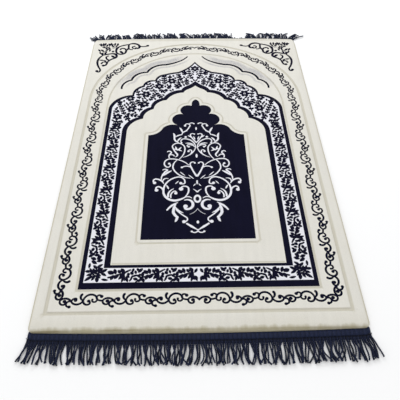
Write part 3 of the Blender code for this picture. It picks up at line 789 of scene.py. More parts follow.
def rows_for_lines(pitch=3.0, lip=0.8, tolerance=0.3):
    """Rows of points along each pressed line: on its bottom, and on and past its lips."""
    rows = []
    for course, line in pressed_lines():
        middle, ahead = spaced_along(course, pitch)
        outwards = np.column_stack((ahead[:, 1], -ahead[:, 0])) * turning(course)
        half = line.width / 2
        beside = (half - lip, half + lip, half + 2 * lip)
        for aside in [-reach for reach in beside] + [0.0] + list(beside):
            reach = line.stand_off + aside
            moved = middle + outwards * reach
            kept = distance_to(moved, course) > abs(reach) - tolerance
            rows.append(moved[kept])
    return rows


def pile_height(points):
    """The pile's height at points on the mat, in millimetres, and how far each is pressed, which later
    sets the painted shade in the pressed lines.
    """
    x, y = points.T
    # Slow waves, less than half a millimetre high
    swell = 0.25 * np.sin(x / 61 + 0.7) * np.sin(y / 83) + 0.2 * np.sin(y / 37 + x / 140)
    height = THICKNESS - SINK + swell
    pressed = np.zeros(len(points))
    for course, line in pressed_lines():
        away = off_line(points, course, line) - line.width / 2
        share = np.clip((LIP / 2 - away) / LIP, 0, 1)
        height -= line.depth * share
        pressed = np.maximum(pressed, share)
    return height, pressed


def free_grid(pitch, reach_x, reach_y):
    """Even points, as far as a reach on each side of the middle."""
    x = np.arange(-reach_x + pitch / 2, reach_x, pitch)
    y = np.arange(-reach_y + pitch / 2, reach_y, pitch)
    return np.stack(np.meshgrid(x, y), axis=-1).reshape(-1, 2)


def clear_of(points, others, distance):
    """The points with none of the others in their own square or the squares round it."""
    taken = {tuple(cell) for cell in np.floor(others / distance).astype(int)}
    cells = np.floor(points / distance).astype(int)
    around = [(i, j) for i in (-1, 0, 1) for j in (-1, 0, 1)]
    kept = [
        not any((c[0] + i, c[1] + j) in taken for i, j in around)
        for c in cells
    ]
    return points[np.array(kept)]


def filled(outline, extra=(), outlines=()):
    """Triangles over an outline, through extra points and along other closed outlines.

    Gives the points, the triangles, and for each point its number in the outline or None.
    """
    points = [tuple(p) for p in outline]
    edges = []
    for shape in outlines:
        first, count = len(points), len(shape)
        points += [tuple(p) for p in shape]
        edges += [(first + i, first + (i + 1) % count) for i in range(count)]
    points += [tuple(p) for p in extra]
    boundary = list(range(len(outline)))
    kept = 1  # only what lies inside the boundary
    tolerance = 0.01  # points closer than this are merged
    plan, _, faces, sources, _, _ = delaunay_2d_cdt(points, edges, [boundary], kept, tolerance)
    ring = [min(source) if source and min(source) < len(outline) else None for source in sources]
    return np.array([(p.x, p.y) for p in plan]), faces, ring


def paint_numbers(centres, layers):
    """Each triangle's paint: the last layer that covers its centre."""
    paint = np.zeros(len(centres), dtype=int)
    order = np.argsort(centres[:, 0])
    sorted_x = centres[order, 0]
    for name, shapes in layers:
        number = PAINTS.index(name)
        for shape in shapes:
            low, high = shape.min(axis=0), shape.max(axis=0)
            start, stop = np.searchsorted(sorted_x, (low[0], high[0]))
            near = order[start:stop]
            near = near[(centres[near, 1] >= low[1]) & (centres[near, 1] <= high[1])]
            if len(near):
                paint[near[winds_round(centres[near], shape)]] = number
    return paint


def rolled_edge(outer, inner):
    """The mat's edge, from its foot up and in over the roll, as (vertices, faces)."""
    count = len(outer)
    inner_height, _ = pile_height(inner)
    beyond = np.clip((outer[:, 1] - (HALF_LENGTH - CORNER_RADIUS)) / CORNER_RADIUS, 0, 1)
    rings = [np.column_stack((outer, np.zeros(count)))]
    for share in ROLL_STEPS:
        place = outer + (inner - outer) * share
        rise = math.sqrt(1 - (1 - share) ** 2)
        place[:, 1] += FAR_OVERHANG * beyond * min(rise * 2.2, 1.0) * (1 - share)
        height = EDGE_WALL + (inner_height - EDGE_WALL) * rise
        height += FAR_SWELL * beyond * math.sin(math.pi * min(rise, 1.0) ** 2)
        rings.append(np.column_stack((place, height)))
    faces = []
    for low in range(0, (len(rings) - 1) * count, count):
        high = low + count
        for i in range(count):
            j = (i + 1) % count
            faces.append((low + i, low + j, high + j, high + i))
    return np.vstack(rings), faces


def numbered(ring, ring_start, next_number):
    """Each point's vertex number, and which points need a new vertex.

    A point of the outline has its vertex already, counted from ring_start.
    """
    numbers = []
    new_points = []
    for i, source in enumerate(ring):
        if source is None:
            numbers.append(next_number + len(new_points))
            new_points.append(i)
        else:
            numbers.append(ring_start + source)
    return numbers, new_points


def pile_mesh():
    """The mat as one closed mesh whose faces follow the pattern's outlines."""
    outer = mat_outline(HALF_WIDTH, CORNER_RADIUS, NEAR_INSET, 0.0)
    inner = mat_outline(HALF_WIDTH - SIDE_ROLL, ROLL_INNER_RADIUS, NEAR_ROLL, FAR_ROLL)
    layers = painted_layers()
    shapes = [shape for _, group in layers for shape in group]
    rows = rows_for_lines()
    closed_rows = [spaced_along(row, ROW_PITCH)[0] for row in rows[:-ROWS_PER_LINE]]
    loose_points = np.vstack(rows[-ROWS_PER_LINE:] + [points_for_stipple()])
    fixed = np.vstack(shapes + closed_rows + [loose_points, inner])
    grid = clear_of(free_grid(GRID_PITCH, *GRID_REACH), fixed, CLEAR_OF_PATTERN)
    extra = np.vstack((grid, clear_of(loose_points, np.vstack(shapes), 1.0)))

    vertices, faces = rolled_edge(outer, inner)
    rim_faces = len(faces)
    first_placed = len(vertices)
    plan, top_faces, ring = filled(inner, extra, shapes + closed_rows)
    numbers, new_points = numbered(ring, first_placed - len(inner), first_placed)
    placed = plan[new_points]
    height, top_pressed = pile_height(placed)
    vertices = np.vstack((vertices, np.column_stack((placed, height))))
    faces += [tuple(numbers[i] for i in face) for face in top_faces]
    centres = np.array([plan[list(face)].mean(axis=0) for face in top_faces])
    paint = paint_numbers(centres, layers)

    first_under = len(vertices)
    plan, under_faces, ring = filled(outer, free_grid(UNDER_PITCH, *UNDER_REACH))
    numbers, new_points = numbered(ring, 0, first_under)
    vertices = np.vstack((vertices, np.column_stack((plan[new_points], np.zeros(len(new_points))))))
    faces += [tuple(numbers[i] for i in reversed(face)) for face in under_faces]

    mesh = bpy.data.meshes.new("rug_pile")
    mesh.from_pydata((vertices * MM).tolist(), [], faces)
    backing = np.full(len(under_faces), PAINTS.index("backing"))
    indices = np.concatenate((np.zeros(rim_faces, dtype=int), paint, backing))
    mesh.polygons.foreach_set("material_index", indices.astype(np.int32))
    # pressed masks the painted shade in the pressed lines; stippled sets the pressed dots' bump and
    # painted shade
    pressed = np.zeros(len(vertices))
    pressed[first_placed:first_under] = top_pressed
    for name, values in (("pressed", pressed), ("stippled", stippled(vertices[:, :2]))):
        mesh.attributes.new(name, "FLOAT", "POINT").data.foreach_set("value", values)
    mesh.shade_smooth()
    mesh.set_sharp_from_angle(angle=math.radians(60))
    mesh.update()
    follow_relief(mesh, placed, first_placed)
    return mesh


def follow_relief(mesh, placed, first_placed):
    """Give the pile's top the relief's own normals, so that its triangles don't show."""
    slopes = []
    for shift in ((NORMAL_STEP, 0.0), (0.0, NORMAL_STEP)):
        ahead, behind = pile_height(placed + shift)[0], pile_height(placed - shift)[0]
        slopes.append((behind - ahead) / (2 * NORMAL_STEP))
    normals = unit_rows(np.column_stack(slopes + [np.ones(len(placed))]))
    corners = np.empty(len(mesh.loops) * 3, dtype=np.float32)
    mesh.corner_normals.foreach_get("vector", corners)
    corners = corners.reshape(-1, 3)
    owners = np.empty(len(mesh.loops), dtype=np.int32)
    mesh.loops.foreach_get("vertex_index", owners)
    on_top = (owners >= first_placed) & (owners < first_placed + len(placed))
    corners[on_top] = normals[owners[on_top] - first_placed]
    mesh.normals_split_custom_set(corners.tolist())


# ---------------------------------------------------------------- node helpers
def add_node(tree, kind, inputs=None, **settings):
    """Add a node, set its settings, and give its inputs values or links."""
    node = tree.nodes.new(kind)
    for name, value in settings.items():
        setattr(node, name, value)
    for key, value in (inputs or {}).items():
        if isinstance(value, bpy.types.NodeSocket):
            tree.links.new(value, node.inputs[key])
        else:
            node.inputs[key].default_value = value
    return node


def result_of(tree, kind, inputs=None, **settings):
    """A new node's first output."""
    return add_node(tree, kind, inputs, **settings).outputs[0]


def calc(tree, operation, *values):
    """A maths node's result."""
    return result_of(tree, "ShaderNodeMath", dict(enumerate(values)), operation=operation)


def minus(tree, value, taken):
    return calc(tree, "SUBTRACT", value, taken)


def product(tree, *factors):
    return reduce(lambda a, b: calc(tree, "MULTIPLY", a, b), factors)


def total(tree, *terms):
    return reduce(lambda a, b: calc(tree, "ADD", a, b), terms)


def largest(tree, *values):
    return reduce(lambda a, b: calc(tree, "MAXIMUM", a, b), values)


def remap(tree, value, low, high, to_low, to_high, smooth=True):
    """A value moved from one range to another, and kept inside it."""
    spans = {"Value": value, "From Min": low, "From Max": high, "To Min": to_low, "To Max": to_high}
    kind = "SMOOTHSTEP" if smooth else "LINEAR"
    return add_node(tree, "ShaderNodeMapRange", spans, interpolation_type=kind).outputs["Result"]


def noise(tree, place, scale, detail):
    """Noise from 0 to 1."""
    inputs = {"Vector": place, "Scale": scale, "Detail": detail}
    return add_node(tree, "ShaderNodeTexNoise", inputs).outputs["Fac"]


def swing(tree, value, amount):
    """Noise from 0 to 1 made into a swing about 0."""
    return product(tree, minus(tree, value, 0.5), amount)


def own_place(tree):
    """A place on the piece, in metres."""
    return add_node(tree, "ShaderNodeTexCoord").outputs["Object"]


def axes_of(tree, place):
    return add_node(tree, "ShaderNodeSeparateXYZ", {"Vector": place}).outputs


def stretched(tree, place, scale):
    """A place times a scale along each axis."""
    return result_of(tree, "ShaderNodeMapping", {"Vector": place, "Scale": scale})


def stored(tree, name):
    """A value that the mesh carries at its points."""
    return add_node(tree, "ShaderNodeAttribute", attribute_name=name).outputs["Fac"]


def tinted(tree, share, colour_a, colour_b, blend="MIX"):
    """Two colours mixed. On a colour mix, sockets 6 and 7 take the colours and output 2 gives one."""
    inputs = {"Factor": share, 6: colour_a, 7: colour_b}
    return add_node(tree, "ShaderNodeMix", inputs, data_type="RGBA", blend_type=blend).outputs[2]


def shaded(tree, colour, shade):
    """A colour times a shade."""
    grey = result_of(tree, "ShaderNodeCombineColor", {"Red": shade, "Green": shade, "Blue": shade})
    return tinted(tree, 1.0, colour, grey, "MULTIPLY")


def new_group(name, inputs, outputs):
    """A shader node group with float inputs (name, default) and float outputs."""
    tree = bpy.data.node_groups.new(name, "ShaderNodeTree")
    for label, default in inputs:
        socket = tree.interface.new_socket(label, in_out="INPUT", socket_type="NodeSocketFloat")
        socket.default_value = default
    for label in outputs:
        tree.interface.new_socket(label, in_out="OUTPUT", socket_type="NodeSocketFloat")
    return tree, tree.nodes.new("NodeGroupInput").outputs, tree.nodes.new("NodeGroupOutput").inputs


def put_out(tree, result, values):
    """Link values to a group's outputs."""
    for name, value in values.items():
        tree.links.new(value, result[name])


def place_group(tree, group, inputs):
    """A node group put into a tree: its outputs."""
    node = add_node(tree, "ShaderNodeGroup", node_tree=group)
    for name, value in inputs.items():
        node.inputs[name].default_value = value
    return node.outputs


def nap_group():
    """Cut pile: tufts, the streaks of its lie, and soft patches where it lies another way."""
    tree, given, result = new_group(
        "Nap",
        (("Tuft Scale", 620.0), ("Streaks", 0.06), ("Patches", 0.05)),
        ("Shade", "Height", "Patch"),
    )
    place = own_place(tree)
    tufts = add_node(tree, "ShaderNodeTexVoronoi", {"Vector": place, "Scale": given["Tuft Scale"]})
    fibres = noise(tree, place, product(tree, given["Tuft Scale"], 2.3), 3.0)
    streaks = noise(tree, stretched(tree, place, (70.0, 7.0, 7.0)), 1.0, 4.0)
    patches = noise(tree, place, 9.0, 3.0)
    height = minus(tree, fibres, tufts.outputs["Distance"])
    # Painted shade: the tufts' gaps are darker and their tops lighter; the streaks and patches vary at
    # random
    shade = total(
        tree,
        remap(tree, height, -0.6, 0.6, -0.06, 0.05, smooth=False),
        swing(tree, streaks, given["Streaks"]),
        swing(tree, patches, given["Patches"]),
        1.0,
    )
    patch = remap(tree, patches, 0.4, 0.75, 0.0, 1.0)
    put_out(tree, result, {"Shade": shade, "Height": height, "Patch": patch})
    return tree


def rim_shade_group():
    """How far into the rim's painted shade a place is: 1 at the edges, 0 on the mat's flat. It also
    gives the painted shade in the fold just inside the near end.
    """
    tree, given, result = new_group(
        "Rim Shade",
        (
            ("Side", HALF_WIDTH * MM), ("Side Fade", 0.008),
            ("Near End", -HALF_LENGTH * MM), ("Near Fade", 0.016),
            ("Far End", HALF_LENGTH * MM), ("Far Fade", 0.008), ("Crease", 0.0065),
        ),
        ("Rim Shade", "Crease"),
    )
    place = own_place(tree)
    axes = axes_of(tree, place)
    to_side = minus(tree, given["Side"], calc(tree, "ABSOLUTE", axes["X"]))
    to_near = minus(tree, axes["Y"], given["Near End"])
    to_far = minus(tree, given["Far End"], axes["Y"])
    # The near end's painted shade has an uneven edge, and reaches further in on the left
    uneven = noise(tree, stretched(tree, place, (60.0, 9.0, 9.0)), 1.0, 4.0)
    leftwards = remap(tree, axes["X"], -0.34, -0.1, 1.0, 0.55)
    lean = product(tree, leftwards, NEAR_SHADE_LEAN)
    near = minus(tree, total(tree, to_near, swing(tree, uneven, 0.02)), lean)
    shades = [
        remap(tree, calc(tree, "DIVIDE", distance, fade), 0.0, 1.0, most, 0.0)
        for distance, fade, most in (
            (to_side, given["Side Fade"], 1.0),
            (near, given["Near Fade"], 1.0),
            (near, NEAR_SLOPE_REACH, NEAR_SLOPE_SHADE_TINT),
            (to_far, given["Far Fade"], FAR_SHADE_TINT),
        )
    ]
    # Painted shade in the fold just inside the near end, deeper on the left
    to_crease = calc(tree, "ABSOLUTE", minus(tree, to_near, given["Crease"]))
    depth = remap(tree, noise(tree, place, 11.0, 2.0), 0.35, 0.65, 0.25, 1.0)
    crease = product(tree, remap(tree, to_crease, 0.0, 0.0035, 1.0, 0.0), depth, leftwards)
    put_out(tree, result, {"Rim Shade": largest(tree, *shades), "Crease": crease})
    return tree


def yarn_group():
    """Spun yarn: the fibres' fine grain and slow changes of tone."""
    tree, given, result = new_group(
        "Spun Yarn", (("Fibre Scale", 900.0), ("Tone", 0.35)), ("Shade", "Height")
    )
    place = own_place(tree)
    fibres = noise(tree, place, given["Fibre Scale"], 4.0)
    tones = noise(tree, place, 90.0, 2.0)
    tone = product(tree, minus(tree, total(tree, fibres, tones), 1.0), given["Tone"])
    put_out(tree, result, {"Shade": total(tree, tone, 1.0), "Height": fibres})
    return tree


def shared_groups():
    """The node groups that the materials share, made when first asked for."""
    makers = {"Nap": nap_group, "Rim Shade": rim_shade_group, "Spun Yarn": yarn_group}
    return {name: bpy.data.node_groups.get(name) or make() for name, make in makers.items()}


# ---------------------------------------------------------------- materials
def start_material(name, roughness, sheen, gloss=0.12):
    """A new material, its tree and its shader, with the values that are the same all over."""
    material = bpy.data.materials.new(name)
    material.use_nodes = True
    tree = material.node_tree
    shader = tree.nodes["Principled BSDF"]
    shader.inputs["Roughness"].default_value = roughness
    shader.inputs["Specular IOR Level"].default_value = gloss
    shader.inputs["Sheen Weight"].default_value = sheen
    shader.inputs["Sheen Roughness"].default_value = 0.5
    return material, tree, shader


def finish_material(tree, shader, colour, shade, height, bump_distance, bump_strength=1.0):
    """Give a material its colour, shaded, and its bump."""
    tree.links.new(shaded(tree, colour, shade), shader.inputs["Base Color"])
    inputs = {"Height": height, "Distance": bump_distance, "Strength": bump_strength}
    bump = add_node(tree, "ShaderNodeBump", inputs)
    tree.links.new(bump.outputs["Normal"], shader.inputs["Normal"])


def pile_material(name, colour, groups, streaks, patches, sheen=0.1, gloss=0.12):
    """Cut pile of one colour."""
    material, tree, shader = start_material(name, PILE_ROUGHNESS, sheen, gloss)
    nap = place_group(tree, groups["Nap"], {"Streaks": streaks, "Patches": patches})
    finish_material(tree, shader, colour, nap["Shade"], nap["Height"], TUFT_HEIGHT, TUFT_STRENGTH)
    return material


def cream_material(name, colour, shade_and_patch_colour, dot_shade_colour, groups):
    """The ground pile, with painted shade on the rolled rim, in the near end's crease, and in the
    pressed lines and dots.
    """
    material, tree, shader = start_material(name, PILE_ROUGHNESS, 0.1)
    nap = place_group(tree, groups["Nap"], {"Streaks": 0.10, "Patches": 0.07})
    rim = place_group(tree, groups["Rim Shade"], {})
    # The pressed dots: a bump, and painted shade where they lie
    spots = {"Vector": own_place(tree), "Scale": 240.0, "Randomness": 0.5}
    dots = add_node(tree, "ShaderNodeTexVoronoi", spots).outputs["Distance"]
    dots = remap(tree, remap(tree, dots, 0.2, 0.6, 1.0, 0.0), 0.0, 1.0, 0.42, 1.0)
    dot_depth_and_shade = product(tree, dots, stored(tree, "stippled"))
    base = colour
    # Soft patches at random, then painted shade: on the rim, in the crease, in the pressed lines and on
    # the pressed dots
    for share, tint in (
        (product(tree, nap["Patch"], PATCH_TINT), shade_and_patch_colour),
        (rim["Rim Shade"], shade_and_patch_colour),
        (product(tree, rim["Crease"], CREASE_SHADE_TINT), CREASE_SHADE_COLOUR),
        (product(tree, stored(tree, "pressed"), PRESSED_SHADE_TINT), shade_and_patch_colour),
        (dot_depth_and_shade, dot_shade_colour),
    ):
        base = tinted(tree, share, base, tint)
    height = minus(tree, nap["Height"], dot_depth_and_shade)
    finish_material(tree, shader, base, nap["Shade"], height, TUFT_HEIGHT, TUFT_STRENGTH)
    return material


def backing_material(name, colour):
    """The plain woven back."""
    material, tree, shader = start_material(name, 0.9, 0.0)
    place = own_place(tree)
    axes = axes_of(tree, place)
    threads = [
        calc(tree, "ABSOLUTE", calc(tree, "SINE", product(tree, axes[axis], 1250.0)))
        for axis in ("X", "Y")
    ]
    weave = largest(tree, *threads)
    uneven = remap(tree, noise(tree, place, 160.0, 3.0), 0.2, 0.8, 0.9, 1.05)
    shade = product(tree, remap(tree, weave, 0.0, 1.0, 0.82, 1.0), uneven)
    finish_material(tree, shader, colour, shade, weave, 0.0005)
    return material


def yarn_material(name, colour, groups):
    """Spun yarn, for the tapes and the strands."""
    material, tree, shader = start_material(name, 0.85, 0.06, 0.1)
    yarn = place_group(tree, groups["Spun Yarn"], {})
    # The stored tone holds the strands' painted light and shade; on the ribs it makes them lighter
    shade = product(tree, yarn["Shade"], total(tree, stored(tree, "tone"), 1.0))
    finish_material(tree, shader, colour, shade, yarn["Height"], 0.0006)
    return material


# ---------------------------------------------------------------- fringes, by Geometry Nodes
def new_geometry_tree(name, inputs):
    """A Geometry Nodes tree with a geometry in and out and named inputs (name, type, default)."""
    tree = bpy.data.node_groups.new(name, "GeometryNodeTree")
    tree.interface.new_socket("Geometry", in_out="INPUT", socket_type="NodeSocketGeometry")
    for label, kind, default in inputs:
        socket = tree.interface.new_socket(label, in_out="INPUT", socket_type="NodeSocket" + kind)
        if default is not None:
            socket.default_value = default
    tree.interface.new_socket("Geometry", in_out="OUTPUT", socket_type="NodeSocketGeometry")
    return tree, tree.nodes.new("NodeGroupInput").outputs, tree.nodes.new("NodeGroupOutput").inputs


def random_value(tree, low, high, number, seed):
    """A number's own random value, the same at each run."""
    inputs = {2: low, 3: high, "ID": number, "Seed": seed}
    return add_node(tree, "FunctionNodeRandomValue", inputs, data_type="FLOAT").outputs[1]


def noise_at(tree, x, y, scale):
    """Noise from -1 to 1 at a place in the plane."""
    place = result_of(tree, "ShaderNodeCombineXYZ", {"X": x, "Y": y})
    return swing(tree, noise(tree, place, scale, 1.0), 2.0)


def points_on(tree, line, count):
    """Even points along a mesh line."""
    curve = result_of(tree, "GeometryNodeMeshToCurve", {"Mesh": line})
    return result_of(tree, "GeometryNodeResampleCurve", {"Curve": curve, "Count": count})


def straight_out(tree, count):
    """A straight curve, 1 long, of so many points."""
    line = result_of(tree, "GeometryNodeCurvePrimitiveLine", {"End": (0.0, 1.0, 0.0)})
    return result_of(tree, "GeometryNodeResampleCurve", {"Curve": line, "Count": count})


def laid_on(tree, points, shape):
    """The shape once at each point."""
    return result_of(tree, "GeometryNodeInstanceOnPoints", {"Points": points, "Instance": shape})


def moved_to(tree, geometry, **place):
    """Geometry with its points put at new places."""
    place = result_of(tree, "ShaderNodeCombineXYZ", place)
    return result_of(tree, "GeometryNodeSetPosition", {"Geometry": geometry, "Position": place})


def swept(tree, curve, sides, radius, caps=True):
    """A round solid along a curve."""
    circle = {"Resolution": sides, "Radius": radius}
    profile = result_of(tree, "GeometryNodeCurvePrimitiveCircle", circle)
    inputs = {"Curve": curve, "Profile Curve": profile, "Fill Caps": caps}
    return result_of(tree, "GeometryNodeCurveToMesh", inputs)


def finish_tree(tree, geometry, material, result):
    """Realize, shade smooth and give the material."""
    solid = result_of(tree, "GeometryNodeRealizeInstances", {"Geometry": geometry})
    solid = result_of(tree, "GeometryNodeSetShadeSmooth", {"Geometry": solid})
    inputs = {"Geometry": solid, "Material": material}
    tree.links.new(result_of(tree, "GeometryNodeSetMaterial", inputs), result["Geometry"])


STRAND_INPUTS = (
    ("Strands", "Int", 190), ("Segments", "Int", 14), ("Way Out", "Float", -1.0),
    ("Length", "Float", 0.058), ("Length Spread", "Float", 0.05), ("Length Slope", "Float", 0.0),
    ("Heading", "Float", 0.012), ("Radius", "Float", 0.0021), ("Twists", "Float", 2.5),
    ("Root Height", "Float", 0.0022), ("Lock Width", "Float", 0.022), ("Warp", "Float", 0.014),
    ("Gather", "Float", 0.22), ("Wisp Width", "Float", 0.0085), ("Bow", "Float", 0.0042),
    ("Lean", "Float", 0.006), ("Wave", "Float", 0.0016), ("Hook", "Float", 0.006),
    ("Stray", "Float", 0.016), ("Fan Left", "Float", 0.30), ("Fan Right", "Float", 0.30),
    ("Fan Start", "Float", 0.33), ("Thin From", "Float", 0.0), ("Thin To", "Float", 0.0),
    ("Thin Length", "Float", 1.0), ("Seed", "Int", 1), ("Yarn", "Material", None),
)


def strand_tree():
    """Loose strands along a line. They gather in locks, bow, lean, cross and fan out."""
    tree, given, result = new_geometry_tree("Loose Strands", STRAND_INPUTS)
    stations = total(tree, given["Segments"], 1.0)
    roots = points_on(tree, given["Geometry"], given["Strands"])
    laid = laid_on(tree, roots, straight_out(tree, stations))
    laid = result_of(tree, "GeometryNodeRealizeInstances", {"Geometry": laid})

    share = add_node(tree, "GeometryNodeSplineParameter").outputs["Factor"]
    index = result_of(tree, "GeometryNodeInputIndex")
    number = calc(tree, "FLOOR", calc(tree, "DIVIDE", index, stations))
    axes = axes_of(tree, result_of(tree, "GeometryNodeInputPosition"))
    root_x = axes["X"]
    root_y = minus(tree, axes["Y"], share)

    def chance(low, high, owner, step):
        return random_value(tree, low, high, owner, total(tree, given["Seed"], float(step)))

    def numbered_span(width, first):
        """The span of this width that a strand's root is in, and the number that it draws by."""
        span = calc(tree, "FLOOR", calc(tree, "DIVIDE", warped, width))
        return span, total(tree, span, first)

    # The strands gather in locks, and these in wisps, of uneven width
    seed_row = product(tree, given["Seed"], 0.37)
    warped = total(tree, root_x, product(tree, noise_at(tree, root_x, seed_row, 30.0), given["Warp"]))
    lock, lock_id = numbered_span(given["Lock Width"], 500.0)
    _, wisp_id = numbered_span(given["Wisp Width"], 900.0)
    off_middle = minus(tree, warped, product(tree, total(tree, lock, 0.5), given["Lock Width"]))

    # A strand's length, shorter where the fringe is thin
    tone = chance(-1.0, 1.0, number, 0)
    length = total(
        tree,
        1.0,
        product(tree, tone, given["Length Spread"]),
        product(tree, chance(-1.0, 1.0, lock_id, 5), given["Length Spread"], 0.7),
    )
    slope = product(tree, root_x, given["Length Slope"])
    length = total(tree, product(tree, length, given["Length"]), slope)
    thin_middle = product(tree, total(tree, given["Thin From"], given["Thin To"]), 0.5)
    thin_half = product(tree, minus(tree, given["Thin To"], given["Thin From"]), 0.5)
    off_thin = calc(tree, "ABSOLUTE", minus(tree, root_x, thin_middle))
    outside_thin = remap(tree, minus(tree, off_thin, thin_half), 0.0, 0.012, 0.0, 1.0)
    regained = product(tree, minus(tree, 1.0, given["Thin Length"]), outside_thin)
    length = product(tree, length, total(tree, given["Thin Length"], regained))
    out = product(tree, length, share)
    loose = minus(tree, out, given["Heading"])
    free = calc(tree, "MAXIMUM", calc(tree, "DIVIDE", loose, given["Length"]), 0.0)

    # At the rug's corners the fan takes over from the lean and the hook
    half = TAPE_HALF_LENGTH * MM
    past = minus(tree, calc(tree, "ABSOLUTE", root_x), given["Fan Start"])
    past = calc(tree, "MAXIMUM", past, 0.0)
    past = calc(tree, "DIVIDE", past, minus(tree, half, given["Fan Start"]))
    calm = remap(tree, past, 0.0, 1.0, 1.0, 0.25)

    # Sideways moves, each a share of the strand's free length
    gather = product(
        tree, off_middle, given["Gather"], chance(-1.5, -0.1, lock_id, 11),
        remap(tree, free, 0.05, 0.85, 0.0, 1.0),
    )
    arch = calc(tree, "SINE", product(tree, calc(tree, "MINIMUM", free, 1.0), math.pi))
    bow = product(tree, arch, given["Bow"], chance(-1.0, 1.0, wisp_id, 13))
    drift = product(tree, noise_at(tree, root_x, seed_row, 6.0), 1.5)
    lean_way = total(tree, chance(-1.0, 1.0, lock_id, 17), drift)
    lean = product(tree, lean_way, given["Lean"], calc(tree, "POWER", free, 1.2), calm)
    start = chance(0.0, 6.28, number, 23)
    phase = total(tree, product(tree, free, chance(4.0, 8.0, number, 19)), start)
    wave = minus(tree, calc(tree, "SINE", phase), calc(tree, "SINE", start))
    grown = calc(tree, "MINIMUM", product(tree, free, 2.5), 1.0)
    wave = product(tree, wave, given["Wave"], chance(0.2, 1.0, number, 29), grown)
    late = calc(tree, "MAXIMUM", minus(tree, free, 0.45), 0.0)
    hook = product(
        tree, calc(tree, "POWER", late, 2.0), 10.0, given["Hook"],
        chance(-1.0, 1.0, number, 31), calm,
    )
    rare = calc(tree, "POWER", chance(-1.0, 1.0, number, 37), 5.0)
    stray = product(tree, rare, given["Stray"], free, minus(tree, 1.0, past))
    on_right = calc(tree, "GREATER_THAN", root_x, 0.0)
    right = product(tree, on_right, given["Fan Right"])
    left = product(tree, minus(tree, 1.0, on_right), given["Fan Left"])
    turned = product(tree, minus(tree, right, left), calc(tree, "POWER", past, 1.5))
    fanned = calc(tree, "MAXIMUM", loose, 0.0)
    fan = product(tree, calc(tree, "SINE", turned), fanned)
    drawn_in = product(tree, minus(tree, 1.0, calc(tree, "COSINE", turned)), fanned)
    x = total(tree, root_x, gather, bow, lean, wave, hook, stray, fan)
    y = total(tree, root_y, product(tree, minus(tree, out, drawn_in), given["Way Out"]))

    # Every strand has its own level, so that those that cross don't cut each other
    odd = calc(tree, "MODULO", number, 2.0)
    level = total(tree, product(tree, odd, 1.5), chance(0.0, 0.8, number, 41))
    lift = product(
        tree, level, given["Radius"], remap(tree, free, 0.0, 0.35, 0.0, 1.0),
        remap(tree, free, 0.8, 1.1, 1.0, 0.6),
    )
    rest = total(tree, given["Radius"], lift)
    down = remap(tree, share, 0.12, 0.5, 0.0, 1.0)
    fall = product(tree, minus(tree, rest, given["Root Height"]), down)
    laid = moved_to(tree, laid, X=x, Y=y, Z=total(tree, given["Root Height"], fall))

    # Painted light and shade: higher strands are lighter and lower ones darker, and each root is darker
    # where it leaves the band
    tone = product(tree, minus(tree, level, 1.1), 0.3)
    tone = total(tree, tone, remap(tree, share, 0.0, 0.07, -0.7, 0.0))
    inputs = {"Geometry": laid, "Name": "tone", "Value": tone}
    laid = result_of(
        tree, "GeometryNodeStoreNamedAttribute", inputs, data_type="FLOAT", domain="POINT"
    )
    turn = product(tree, share, given["Twists"], 2 * math.pi)
    laid = result_of(tree, "GeometryNodeSetCurveTilt", {"Curve": laid, "Tilt": turn})
    taper = remap(tree, share, 0.86, 1.0, 1.0, 0.75)
    laid = result_of(tree, "GeometryNodeSetCurveRadius", {"Curve": laid, "Radius": taper})
    finish_tree(tree, swept(tree, laid, 5, given["Radius"]), given["Yarn"], result)
    return tree


def rib_tree():
    """Half-round ribs side by side along a line, each lying out from it."""
    tree, given, result = new_geometry_tree(
        "Tape Ribs",
        (
            ("Ribs", "Int", RIBS), ("Way Out", "Float", -1.0), ("Reach", "Float", 0.0125),
            ("Radius", "Float", 0.00162), ("Height", "Float", 0.0030), ("Yarn", "Material", None),
        ),
    )
    share = add_node(tree, "GeometryNodeSplineParameter").outputs["Factor"]
    y = product(tree, share, given["Reach"], given["Way Out"])
    bow = calc(tree, "MAXIMUM", calc(tree, "SINE", product(tree, share, math.pi)), 0.0)
    bow = product(tree, calc(tree, "POWER", bow, 0.5), 0.6)
    z = product(tree, total(tree, bow, 0.4), given["Height"])
    rib = swept(tree, moved_to(tree, straight_out(tree, 6), Y=y, Z=z), 6, given["Radius"])
    roots = points_on(tree, given["Geometry"], given["Ribs"])
    finish_tree(tree, laid_on(tree, roots, rib), given["Yarn"], result)
    return tree


def chain_tree():
    """A chain stitch along a line: oval loops, each starting inside the one before."""
    tree, given, result = new_geometry_tree(
        "Chain Stitch",
        (
            ("Stitches", "Int", 150), ("Width", "Float", 0.0030), ("Stitch Length", "Float", 0.0076),
            ("Thread", "Float", 0.0006), ("Yarn", "Material", None),
        ),
    )
    loop = result_of(tree, "GeometryNodeCurvePrimitiveCircle", {"Resolution": 10, "Radius": 0.5})
    oval_size = {"X": given["Stitch Length"], "Y": given["Width"], "Z": 1.0}
    for change in (
        {"Scale": result_of(tree, "ShaderNodeCombineXYZ", oval_size)},
        {"Rotation": (0.0, CHAIN_LEAN, 0.0)},
    ):
        loop = result_of(tree, "GeometryNodeTransform", {"Geometry": loop, **change})
    loop = swept(tree, loop, 5, given["Thread"], caps=False)
    roots = points_on(tree, given["Geometry"], given["Stitches"])
    finish_tree(tree, laid_on(tree, roots, loop), given["Yarn"], result)
    return tree


def tape_line(end, out, height, steps=80):
    """A mesh line along the tape, at a distance out from the mat's end."""
    x = np.linspace(-TAPE_HALF_LENGTH, TAPE_HALF_LENGTH, steps + 1)
    points = np.column_stack((x, end * (end_reach(x) + out), np.full(len(x), height))) * MM
    mesh = bpy.data.meshes.new("line")
    mesh.from_pydata(points.tolist(), [(i, i + 1) for i in range(steps)], [])
    return mesh


